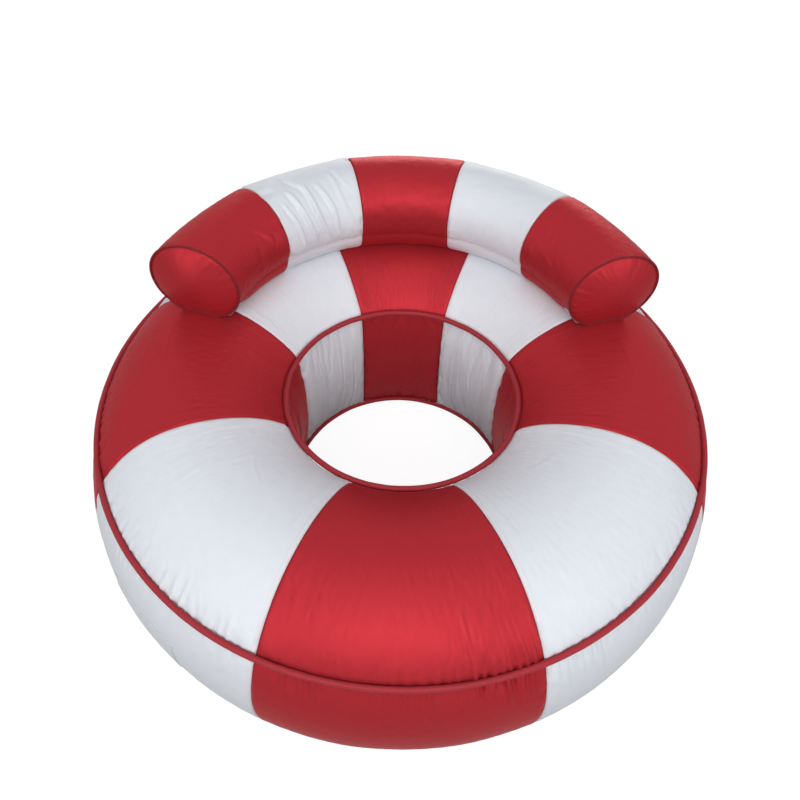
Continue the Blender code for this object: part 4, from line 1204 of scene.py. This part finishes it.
def makeRingBladder(shape, setup):
    loop = np.vstack([lines["top"], lines["side"][1:], baseLine(shape, baseSetup)[1:], lines["inner"][1:-1]])
    loop = insideLoop(loop, 900, setup["ringCorner"], setup["ringInset"], 150)
    azimuth = np.arange(361.0)
    inwards = setup["wave"] * (unevenness(np.arange(150)[:, None] * 0.16, np.cos(np.radians(azimuth)) * 7, 81) - 1)
    centre = loop.mean(axis=0)
    away = (loop - centre) / np.linalg.norm(loop - centre, axis=1)[:, None]
    points = swept(loop, azimuth, shape, inwards, away)
    points[:, -1] = points[:, 0]
    points = np.vstack([points, points[:1]])
    rows = np.linspace(0, 1.7, 151)
    cloth = np.stack(np.broadcast_arrays(np.radians(azimuth)[None, :] * 0.4, rows[:, None]), -1)
    return clothMesh("bladder_ring", points, cloth)


def makeRestBladder(shape, setup):
    loop = np.vstack([overLine, zipFlat[1:], underLines["middle"][1:-1]])
    loop = insideLoop(loop, 700, setup["restCorner"], setup["restInset"], 100)
    end = shape["edges"][-1] - setup["restEnd"]
    azimuth = 180 + np.linspace(-end, end, 131)
    body = swept(loop, azimuth, shape)
    body = np.vstack([body, body[:1]]).transpose(1, 0, 2)
    centre = loop.mean(axis=0)
    shares = np.array([0.0, 0.2, 0.45, 0.7, 0.88])[:, None, None]
    rings = centre + shares * (np.vstack([loop, loop[:1]]) - centre)
    first, last = (crossSection(rings, at, shape) + squareTo(at, way) * setup["restDome"] * (1 - shares ** 2)
                   for at, way in ((azimuth[0], -1), (azimuth[-1], 1)))
    points = np.concatenate([first, body, last[::-1]])
    rows, columns = points.shape[:2]
    cloth = np.stack(np.broadcast_arrays(np.arange(rows)[:, None] * 0.009, np.arange(columns)[None, :] * 0.0056), -1)
    return clothMesh("bladder_headrest", points, cloth)


for bag, node in ((makeRingBladder(ringShape, bladderSetup), "ring_bladder"),
                  (makeRestBladder(restShape, bladderSetup), "headrest_bladder")):
    fitOut(weldPiece(bag), bladderFilm, [node], "bladder_pvc")
print("bladders made")


# valves, turned about their own axes

def weldSelected():
    bpy.ops.mesh.select_all(action="SELECT")
    bpy.ops.mesh.remove_doubles(threshold=1e-6)
    bpy.ops.mesh.normals_make_consistent(inside=False)
    bpy.ops.object.mode_set(mode="OBJECT")


def turnPart(name, profile, sides):
    # a circle drawn up through the profile's radii and heights; a profile that comes back to its start is closed
    deselectAll()
    bpy.ops.mesh.primitive_circle_add(vertices=sides, radius=profile[0][0], location=(0, 0, 0))
    part = bpy.context.object
    part.name = name
    bpy.ops.object.mode_set(mode="EDIT")
    bpy.ops.mesh.select_all(action="SELECT")
    bpy.ops.transform.translate(value=(0, 0, profile[0][1]))
    for (wasRadius, wasHeight), (radius, height) in zip(profile, profile[1:]):
        bpy.ops.mesh.extrude_region_move(TRANSFORM_OT_translate={"value": (0, 0, height - wasHeight)})
        if radius > 0:
            share = radius / wasRadius
            bpy.ops.transform.resize(value=(share, share, 1), center_override=(0, 0, height))
        else:
            bpy.ops.mesh.merge(type="CENTER")
    if profile[-1][0] == 0:                        # the open foot gets a disc
        bpy.ops.mesh.select_all(action="DESELECT")
        bpy.ops.mesh.select_mode(type="EDGE")
        bpy.ops.mesh.select_non_manifold()
        bpy.ops.mesh.fill()
    weldSelected()
    return part


def roundEdges(part, width, segments=2, angle=35.0):
    soft = part.modifiers.new("soft edges", "BEVEL")
    soft.width = width
    soft.segments = segments
    soft.limit_method = "ANGLE"
    soft.angle_limit = math.radians(angle)
    applyModifiers(part)
    part.data.shade_smooth()
    bpy.ops.object.shade_smooth_by_angle(angle=math.radians(40))


def axisFrame(jointName, node, foot):
    # the joint's axis as Z, with the lowest point of the frame's own part at a height of foot
    joint = next(j for j in frame["joints"] if j["name"] == jointName)
    up = Vector(joint["axis"]).normalized()
    across = Vector((-up.y, up.x, 0.0)).normalized()
    spots = [v.co for v in cadNodes[node].data.vertices]
    lows, highs = ([pick(s[k] for s in spots) for k in range(3)] for pick in (min, max))
    centre = (Vector(lows) + Vector(highs)) / 2
    lowest = min((s - centre).dot(up) for s in spots)
    turn = Matrix((across, up.cross(across), up)).transposed().to_4x4()
    return Matrix.Translation(centre + up * (lowest - foot)) @ turn


def fitPart(part, edgeWidth, where, nodes, body="lounger", material=valveWhite, slot="valve_plastic"):
    # a part that was turned about Z gets its soft edges and goes to its place
    roundEdges(part, edgeWidth)
    if material == whiteSatin:
        addClothMap(part)
    part.data.transform(where)
    part.data.update()
    part.matrix_world = Matrix.Identity(4)
    fitOut(part, material, nodes, slot, body)


def selectWhere(part, kind, wanted):
    # in edit mode, with only the wanted faces or edges selected
    useOnly(part)
    bpy.ops.object.mode_set(mode="EDIT")
    bpy.ops.mesh.select_mode(type=kind)
    bpy.ops.mesh.select_all(action="DESELECT")
    bpy.ops.object.mode_set(mode="OBJECT")
    for item in part.data.polygons if kind == "FACE" else part.data.edges:
        item.select = wanted(item)
    bpy.ops.object.mode_set(mode="EDIT")


def combine(piece, other, operation):
    both = piece.modifiers.new("combine", "BOOLEAN")
    both.operation, both.solver, both.object = operation, "EXACT", other
    applyModifiers(piece)
    bpy.data.objects.remove(other)


def joinParts(name, *parts):
    deselectAll()
    for part in parts:
        part.select_set(True)
    bpy.context.view_layer.objects.active = parts[0]
    bpy.ops.object.join()
    parts[0].name = name
    return parts[0]


ringValve = {
    "bossRadius": 0.0175,
    "bore": 0.0140,
    "bossHeight": 0.0095,
    "flangeRadius": 0.0250,
    "flangeTop": -0.0012,
    "flangeFoot": -0.0028,
    "seat": -0.0069,
    "foot": -0.0087,
    "ledge": 0.0118,
    "capSkirt": 0.0065,
    "capWall": 0.0018,
    "runGap": 0.0004,
    "tabLength": 0.0090,
    "tabWidth": 0.0110,
    "sides": 72,
}


valveFrame = axisFrame("valve_cap_slide", "ring_valve_base", ringValve["foot"])


def makeRingValve(setup):
    boss, bore, top, foot = setup["bossRadius"], setup["bore"], setup["bossHeight"], setup["foot"]
    flange, face, seat, ledge = setup["flangeRadius"], setup["flangeTop"], setup["seat"], setup["ledge"]
    base = turnPart("valve_boss", [
        (boss, foot), (boss, setup["flangeFoot"]), (flange, setup["flangeFoot"]), (flange, face), (0.0222, face),
        (0.0216, face - 0.0004), (0.0206, face - 0.0004), (0.0200, face), (boss + 0.0008, face),
        (boss, face + 0.0008), (boss, 0.0030), (boss + 0.0003, 0.0034), (boss + 0.0003, 0.0042), (boss, 0.0046),
        (boss, top), (bore, top), (bore, seat), (ledge, seat), (ledge, foot), (boss, foot)], setup["sides"])
    fitPart(base, 0.00025, valveFrame, ["ring_valve_base"])

    skirt, roof = boss + setup["runGap"], top + setup["runGap"]
    edge, lid = skirt + setup["capWall"], top + setup["runGap"] + setup["capWall"]
    foot = roof - setup["capSkirt"]
    cap = turnPart("valve_cap_lid", [
        (edge, foot), (edge, lid - 0.0009), (edge - 0.0003, lid - 0.0003), (edge - 0.0009, lid),
        (0.0140, lid), (0.0134, lid - 0.0005), (0.0126, lid - 0.0005), (0.0120, lid), (0.0035, lid), (0.0, lid)],
        setup["sides"])
    inside = turnPart("valve_cap_inside", [(edge, foot), (skirt, foot), (skirt, roof), (0.0030, roof), (0.0, roof)],
                      setup["sides"])
    cap = joinParts("valve_cap_lid", cap, inside)
    selectWhere(cap, "FACE", lambda face: len(face.vertices) > 8)        # the two discs that closed the halves
    bpy.ops.mesh.delete(type="ONLY_FACE")
    weldSelected()
    deselectAll()
    bpy.ops.mesh.primitive_cube_add(size=1.0, location=(0, 0, 0))
    tab = bpy.context.object
    thick = setup["capWall"] * 0.62
    reach = setup["tabLength"] + setup["capWall"]
    tab.data.transform(Matrix.Translation((edge + reach / 2 - 0.0020, 0, lid - thick / 2 - 0.0004))
                       @ Matrix.Diagonal((reach, setup["tabWidth"], thick, 1)))
    spots = [v.co for v in tab.data.vertices]
    far = max(spot.x for spot in spots) - 1e-5

    def isFarUpright(line):
        a, b = (spots[i] for i in line.vertices)
        return a.x > far and b.x > far and abs(a.z - b.z) > 1e-5

    selectWhere(tab, "EDGE", isFarUpright)         # the two free corners of the tab are rounded off
    bpy.ops.mesh.bevel(offset=setup["tabWidth"] * 0.36, segments=8, affect="EDGES")
    bpy.ops.object.mode_set(mode="OBJECT")
    combine(cap, tab, "UNION")
    fitPart(cap, 0.0003, valveFrame, ["ring_valve_cap"], "valve_cap")

    hem = turnPart("valve_hole_binding", [
        (boss + 0.0022, 0.0008), (boss + 0.0022, 0.0022), (boss + 0.0032, 0.0028), (boss + 0.0056, 0.0026),
        (boss + 0.0060, 0.0018), (boss + 0.0056, 0.0006), (boss + 0.0022, 0.0008)], setup["sides"])
    fitPart(hem, 0.0003, valveFrame, (), material=whiteSatin, slot="white_fabric")


def addClothMap(part):
    # a cloth map for a small piece: its own X and Y, in metres
    layer = part.data.uv_layers.get("cloth") or part.data.uv_layers.new(name="cloth")
    for corner in part.data.loops:
        spot = part.data.vertices[corner.vertex_index].co
        layer.data[corner.index].uv = (spot.x + spot.z * 0.5, spot.y + spot.z * 0.5)
    mark = part.data.attributes.new("seamDistance", "FLOAT", "POINT")
    mark.data.foreach_set("value", np.full(len(part.data.vertices), 1.0, np.float32))


def cutHole(piece, where, radius):
    # a round hole through a cover panel
    deselectAll()
    bpy.ops.mesh.primitive_cylinder_add(vertices=72, radius=radius, depth=0.05, location=(0, 0, 0))
    cutter = bpy.context.object
    cutter.data.transform(where)
    combine(piece, cutter, "DIFFERENCE")
    bpy.ops.object.shade_smooth_by_angle(angle=math.radians(50))    # a crisp rim


restValve = {
    "stem": 0.0062,
    "bore": 0.0044,
    "height": 0.0125,
    "bead": 0.0010,
    "flange": 0.0125,
    "foot": -0.0024,
    "head": 0.0080,
    "headHeight": 0.0034,
    "plugDepth": 0.0085,
    "gap": 0.0003,
    "sides": 56,
}


stemFrame = axisFrame("headrest_plug_slide", "headrest_valve_stem", restValve["foot"])


def makeRestValve(setup):
    stem, bore, top, bead = setup["stem"], setup["bore"], setup["height"], setup["bead"]
    flange, foot = setup["flange"], setup["foot"]
    tube = turnPart("headrest_stem", [
        (bore, foot), (flange, foot), (flange, -0.0012), (stem + 0.0010, -0.0012),
        (stem, -0.0002), (stem, top - 2.4 * bead), (stem + bead, top - 1.6 * bead), (stem + bead, top),
        (bore, top), (bore, foot)], setup["sides"])
    fitPart(tube, 0.0002, stemFrame, ["headrest_valve_stem"])

    shaft, under, head, rise = bore - setup["gap"], top + setup["gap"], setup["head"], setup["headHeight"]
    tip = under - setup["plugDepth"]
    plug = turnPart("headrest_plug", [
        (shaft * 0.86, tip), (shaft, tip + 0.001), (shaft, under),
        (head, under), (head, under + rise * 0.5), (head * 0.93, under + rise * 0.62),
        (shaft * 1.25, under + rise * 0.66), (shaft, under + rise), (shaft * 0.6, under + rise),
        (shaft * 0.5, under + rise - 0.0006), (0.0, under + rise - 0.0006)], setup["sides"])
    fitPart(plug, 0.0002, stemFrame, ["headrest_valve_plug"], "headrest_valve_plug")


makeRingValve(ringValve)
makeRestValve(restValve)
cutHole(bpy.data.objects["cover_side_back_right"], valveFrame, ringValve["bossRadius"] + 0.0032)
cutHole(bpy.data.objects["headrest_cover_top_right"], stemFrame, restValve["stem"] + 0.0018)
print("valves made")


# zips

zipSetup = {
    "chainWidth": 0.0056,
    "toothPitch": 0.0015,
    "toothLength": 0.0036,
    "toothHeight": 0.0024,
    "toothThick": 0.00115,
    "tape": 0.0007,
    "stitch": 0.0030,             # length of a stitch and of the thread's way under the cloth
    "stitchGap": 0.0010,
    "thread": 0.00026,
    "slopeStart": (0.57271, 0.020741),      # the ring zip's width on the slope of the base
    "slopeEnd": (0.5401, 0.0028),
    "half": {"ring": 29.9, "headrest": 44.4},      # degrees to each side of the back
}


def makeTooth(setup):
    deselectAll()
    bpy.ops.mesh.primitive_cube_add(size=1.0, location=(0, 0, 0))
    tooth = bpy.context.object
    tooth.data.transform(Matrix.Diagonal((setup["toothThick"], setup["toothLength"], setup["toothHeight"], 1)))
    bpy.ops.object.mode_set(mode="EDIT")
    bpy.ops.mesh.select_all(action="SELECT")
    bpy.ops.mesh.bevel(offset=0.00032, segments=1, affect="EDGES")
    bpy.ops.object.mode_set(mode="OBJECT")
    spots = np.array([v.co[:] for v in tooth.data.vertices])
    faces = [list(f.vertices) for f in tooth.data.polygons]
    bpy.data.objects.remove(tooth)
    return spots, faces


def repeatAlong(name, spots, faces, frames):
    # one mesh of many copies of a small shape; frames are (origin, x, y, z) rows
    origins, xs, ys, zs = (np.array(part) for part in zip(*frames))
    moved = (origins[:, None] + spots[None, :, 0:1] * xs[:, None] + spots[None, :, 1:2] * ys[:, None]
             + spots[None, :, 2:3] * zs[:, None])
    count = len(spots)
    allFaces = [[v + k * count for v in face] for k in range(len(frames)) for face in faces]
    mesh = bpy.data.meshes.new(name)
    mesh.from_pydata(moved.reshape(-1, 3).tolist(), [], allFaces)
    mesh.shade_smooth()
    piece = newPiece(name, mesh)
    useOnly(piece)
    bpy.ops.object.shade_smooth_by_angle(angle=math.radians(32))
    return piece


def bandFrames(place, along2d, half, pitch, roundness):
    # frames spaced along an arc round the back: x runs round the ring, y across the zip, z outwards
    radius = place[0] * roundness
    count = int(math.radians(2 * half) * radius / pitch)
    frames = []
    for k in range(count):
        azimuth = math.radians(180 - half) + (k + 0.5) * math.radians(2 * half) / count
        out = np.array([math.sin(azimuth), -math.cos(azimuth), 0.0])
        x = np.array([math.cos(azimuth), math.sin(azimuth), 0.0])
        y = out * along2d[0] + np.array([0, 0, along2d[1]])
        z = out * -along2d[1] + np.array([0, 0, along2d[0]])
        frames.append((out * radius + np.array([0, 0, place[1]]), x, y, z))
    return frames


def makeChain(name, place, along2d, half, setup, shape):
    frames = []
    for k, (origin, x, y, z) in enumerate(bandFrames(place, along2d, half, setup["toothPitch"], shape["roundness"])):
        offset = (1 if k % 2 else -1) * (setup["chainWidth"] - setup["toothLength"]) / 2
        frames.append((origin + y * offset - z * setup["tape"] / 2, x, y, z))
    return repeatAlong(name, *makeTooth(setup), frames)


def makeTape(name, start, end, half, thickness, shape):
    start, end = np.array(start), np.array(end)
    length = np.linalg.norm(end - start)
    along = (end - start) / length
    rows = np.linspace(0, length, 9)
    line = start + rows[:, None] * along
    azimuth = np.linspace(180 - half, 180 + half, round(2 * half * 3) + 1)
    radius = line[:, :1] * shape["roundness"]
    cloth = np.stack(np.broadcast_arrays(np.radians(azimuth)[None, :] * radius, rows[:, None]), -1)
    return giveThickness(clothMesh(name, swept(line, azimuth, shape), cloth), thickness)


def makeStitches(name, place, along2d, half, setup, shape):
    frames = bandFrames(place, along2d, half, setup["stitch"] + setup["stitchGap"], shape["roundness"])
    return repeatAlong(name, *stitchShape(setup), [(origin + z * 0.0002, x, y, z) for origin, x, y, z in frames])


def stitchShape(setup):
    # one stitch: a little six-sided bar of thread with tapered ends that dip into the cloth
    length, thread = setup["stitch"], setup["thread"]
    spots, faces = [], []
    for at, share, drop in ((-0.5, 0.5, 1.6), (-0.32, 1.0, 0.0), (0.32, 1.0, 0.0), (0.5, 0.5, 1.6)):
        for k in range(6):
            turn = k * math.pi / 3
            spots.append((at * length, share * thread * math.cos(turn),
                          share * thread * math.sin(turn) - drop * thread))
    for ring in range(3):
        for k in range(6):
            a, b = ring * 6 + k, ring * 6 + (k + 1) % 6
            faces.append([a, b, b + 6, a + 6])
    faces += [[5, 4, 3, 2, 1, 0], [18, 19, 20, 21, 22, 23]]
    return np.array(spots), faces


def refinedCopy(node, name, width):
    # the frame's own small part with its edges rounded
    part = newPiece(name, cadNodes[node].data.copy())
    useOnly(part)
    bpy.ops.object.mode_set(mode="EDIT")
    bpy.ops.mesh.select_all(action="SELECT")
    bpy.ops.mesh.remove_doubles(threshold=1e-6)
    bpy.ops.mesh.dissolve_limited(angle_limit=math.radians(3))
    bpy.ops.object.mode_set(mode="OBJECT")
    roundEdges(part, width, segments=3)
    return part


def makeZips(setup, shape):
    # the ring's zip lies on the slope of the base, the headrest's on the flat below its top cover
    ringZip = np.array([setup["slopeStart"], setup["slopeEnd"]])
    restZip = np.array([overLine[-1], ovalPoint(restShape, restShape["rearSeam"])])
    ways = [(last - first) / np.linalg.norm(last - first) for first, last in (ringZip, restZip)]
    middles = [(first + last) / 2 for first, last in (ringZip, restZip)]
    clear = ways[0] * (setup["chainWidth"] / 2 - 0.0004)
    tapes = {
        # tape, stitches, from, to, the stitches' places on it
        "ring": [("tape_outer", "stitches_outer", ringZip[0], middles[0] - clear, (0.22, 0.78)),
                 ("tape_inner", "stitches_inner", middles[0] + clear, ringZip[1], (0.22, 0.78))],
        "headrest": [("tape_cloth", "stitches", restZip[0], restZip[1], (0.12, 0.88))],
    }
    for (place, rows), middle, way in zip(tapes.items(), middles, ways):
        half, trim = setup["half"][place], way * 0.0003 * (place == "headrest")
        for tapeName, rowName, a, b, shares in rows:
            tape = makeTape(f"zip_{place}_{tapeName}", a + trim, b - trim, half, setup["tape"], shape)
            fitOut(tape, zipTapeCloth, [f"{place}_zip_{tapeName.removesuffix('_cloth')}"], "zip_tape")
            for number, share in enumerate(shares):
                row = makeStitches(f"zip_{place}_{rowName}_{number + 1}", a + (b - a) * share, way, half - 0.2,
                                   setup, shape)
                fitOut(row, threadWhite, (), "zip_tape")
        chain = makeChain(f"zip_{place}_teeth", middle, way, half, setup, shape)
        fitOut(chain, chainWhite, ["ring_zip_chain"] if place == "ring" else (), "zip_chain")
    for place in tapes:
        for part, newName in (("slider", "slider_body"), ("pull", "pull_tab")):
            node = f"{place}_zip_{part}"
            fitOut(refinedCopy(node, f"zip_{place}_{newName}", 0.00022), sliderMetal, [node], "zip_metal", node)


makeZips(zipSetup, ringShape)
print("zips made")


# blank sewn patch on the front left white side

patchSetup = {
    "azimuth": (-54.5, -37.8),
    "down": (0.093, 0.186),       # lengths down the side wall from the outer seam
    "step": 0.0035,
    "thickness": 0.0008,
    "start": 0.012,               # how far off the wall it is before it is laid on
    "lift": 0.0011,               # its face above the cloth that it is sewn to
    "stitchLift": 0.0001,
    "edge": 0.0003,
}


def makePatch(setup, line, stitching):
    rows = np.arange(*setup["down"], setup["step"])
    columns = np.radians(np.subtract(*setup["azimuth"][::-1])) * line[:, 0].max()
    azimuth = np.linspace(*setup["azimuth"], round(columns / setup["step"]))
    spots, outwards = pointsAt(line, rows)
    away, height = (spots + setup["start"] * outwards).T
    points = carried(away[:, None], azimuth[None, :], height[:, None])
    cloth = np.stack(np.broadcast_arrays(np.radians(azimuth)[None, :] * line[:, 0].max(), rows[:, None]), -1)
    patch = clothMesh("cover_patch", points, cloth)
    lay = patch.modifiers.new("lay on the cover", "SHRINKWRAP")
    lay.target = bpy.data.objects["cover_side_front_left"]
    lay.wrap_method, lay.wrap_mode, lay.offset = "NEAREST_SURFACEPOINT", "ABOVE_SURFACE", setup["lift"]
    applyModifiers(patch)
    laid = np.zeros(len(patch.data.vertices) * 3)
    patch.data.vertices.foreach_get("co", laid)
    laid = laid.reshape(points.shape)
    giveThickness(patch, setup["thickness"])
    roundEdges(patch, setup["edge"], angle=60.0)
    fitOut(patch, patchCloth, (), "white_fabric")

    out = np.cross(np.gradient(laid, axis=0), np.gradient(laid, axis=1))
    out /= np.linalg.norm(out, axis=-1, keepdims=True)
    bottom, side = laid.shape[0] - 2, laid.shape[1] - 2
    seam = ([(1, k) for k in range(1, side)] + [(k, side) for k in range(1, bottom)]
            + [(bottom, k) for k in range(side, 1, -1)] + [(k, 1) for k in range(bottom, 0, -1)])
    path, faces = (values[tuple(np.transpose(seam))] for values in (laid, out))
    reach, pitch = lengthsAlong(path), stitching["stitch"] + stitching["stitchGap"]
    at = np.arange(pitch / 2, reach[-1], pitch)
    origins, z = readAlong(path, reach, at), readAlong(faces, reach, at)
    z /= np.linalg.norm(z, axis=1)[:, None]
    x = readAlong(path, reach, np.minimum(at + 0.001, reach[-1])) - origins
    x -= z * (x * z).sum(axis=1)[:, None]
    x /= np.maximum(np.linalg.norm(x, axis=1)[:, None], 1e-9)
    frames = list(zip(origins + z * setup["stitchLift"], x, np.cross(z, x), z))
    fitOut(repeatAlong("cover_patch_stitches", *stitchShape(stitching), frames), threadWhite)


makePatch(patchSetup, lines["side"], zipSetup)
print("patch made")


# floor and light

def seenRays(tree):
    # the camera's own rays, also those through something clear, and the rays of reflections
    rays = addNode(tree, "ShaderNodeLightPath").outputs
    return mathNode(tree, "MAXIMUM", rays["Is Camera Ray"], rays["Is Transmission Ray"]), rays["Is Glossy Ray"]


def startTree(owner):
    owner.use_nodes = True
    owner.node_tree.nodes.clear()
    return owner.node_tree


floorSetup = {
    "size": 30.0,
    "tone": 0.22,
    "seen": 0.88,                 # how pale the camera sees it
    "reflected": 0.45,            # and how pale it is in reflections
}


def makeFloor(setup):
    bpy.ops.mesh.primitive_plane_add(size=setup["size"], location=(0, 0, 0))
    floor = bpy.context.object
    floor.name = "floor"
    material = bpy.data.materials.new("paleFloor")
    tree = startTree(material)
    seen, glossy = seenRays(tree)
    matt = addNode(tree, "ShaderNodeBsdfDiffuse", {"Color": (*[setup["tone"]] * 3, 1.0)})
    direct = mathNode(tree, "MULTIPLY", seen, setup["seen"])
    reflected = mathNode(tree, "MULTIPLY", glossy, setup["reflected"])
    lift = addNode(tree, "ShaderNodeEmission", {"Strength": mathNode(tree, "MAXIMUM", direct, reflected)})
    both = addNode(tree, "ShaderNodeAddShader", {0: matt.outputs[0], 1: lift.outputs[0]})
    addNode(tree, "ShaderNodeOutputMaterial", {0: both.outputs[0]})
    floor.data.materials.append(material)


roomSetup = {
    "color": (0.97, 0.985, 1.0, 1.0),
    "strength": 0.37,
    "behind": 1.0,                # white, as the camera sees it
}
lamps = [
    # name, place, where it points, width and height, strength in watts
    ("softFront", (-0.10, -2.75, 3.0), (0.0, -0.1, 0.2), (3.4, 1.5), 54.0),
    ("softTop", (0.0, -0.9, 3.5), (0.0, 0.0, 0.2), (3.2, 1.6), 18.0),
    ("softLeft", (-2.3, -2.0, 1.3), (0.0, 0.0, 0.3), (1.2, 1.2), 16.0),
    ("softRight", (2.4, -1.8, 1.4), (0.0, 0.0, 0.3), (1.4, 1.4), 17.0),
    ("softBack", (0.3, 3.2, 0.6), (0.0, 0.3, 0.2), (3.2, 0.8), 28.0),
]


def makeLight(setup):
    for name, place, target, size, power in lamps:
        bpy.ops.object.light_add(type="AREA", location=place)
        lamp = bpy.context.object
        lamp.name = name
        lamp.data.shape = "ELLIPSE"
        lamp.data.size, lamp.data.size_y = size
        lamp.data.energy = power
        lamp.rotation_euler = (Vector(target) - Vector(place)).to_track_quat("-Z", "Y").to_euler()
    world = bpy.context.scene.world or bpy.data.worlds.new("softRoom")
    bpy.context.scene.world = world
    tree = startTree(world)
    seen = mathNode(tree, "MAXIMUM", *seenRays(tree))
    air = addNode(tree, "ShaderNodeBackground", {"Color": setup["color"], "Strength": setup["strength"]})
    white = addNode(tree, "ShaderNodeBackground", {"Color": (1.0, 1.0, 1.0, 1.0), "Strength": setup["behind"]})
    chosen = addNode(tree, "ShaderNodeMixShader", {0: seen, 1: air.outputs[0], 2: white.outputs[0]})
    addNode(tree, "ShaderNodeOutputWorld", {0: chosen.outputs[0]})


makeFloor(floorSetup)
makeLight(roomSetup)
bpy.context.scene.view_settings.view_transform = "Standard"
print("floor and light made")

for nodeName, node in cadNodes.items():            # what still shows of the frame: the valve's insert and flap
    if not node.hide_render:
        print("kept node:", nodeName)
        node.data.materials.clear()
        node.data.materials.append(flapBlack if nodeName == "ring_valve_flap" else valveWhite)
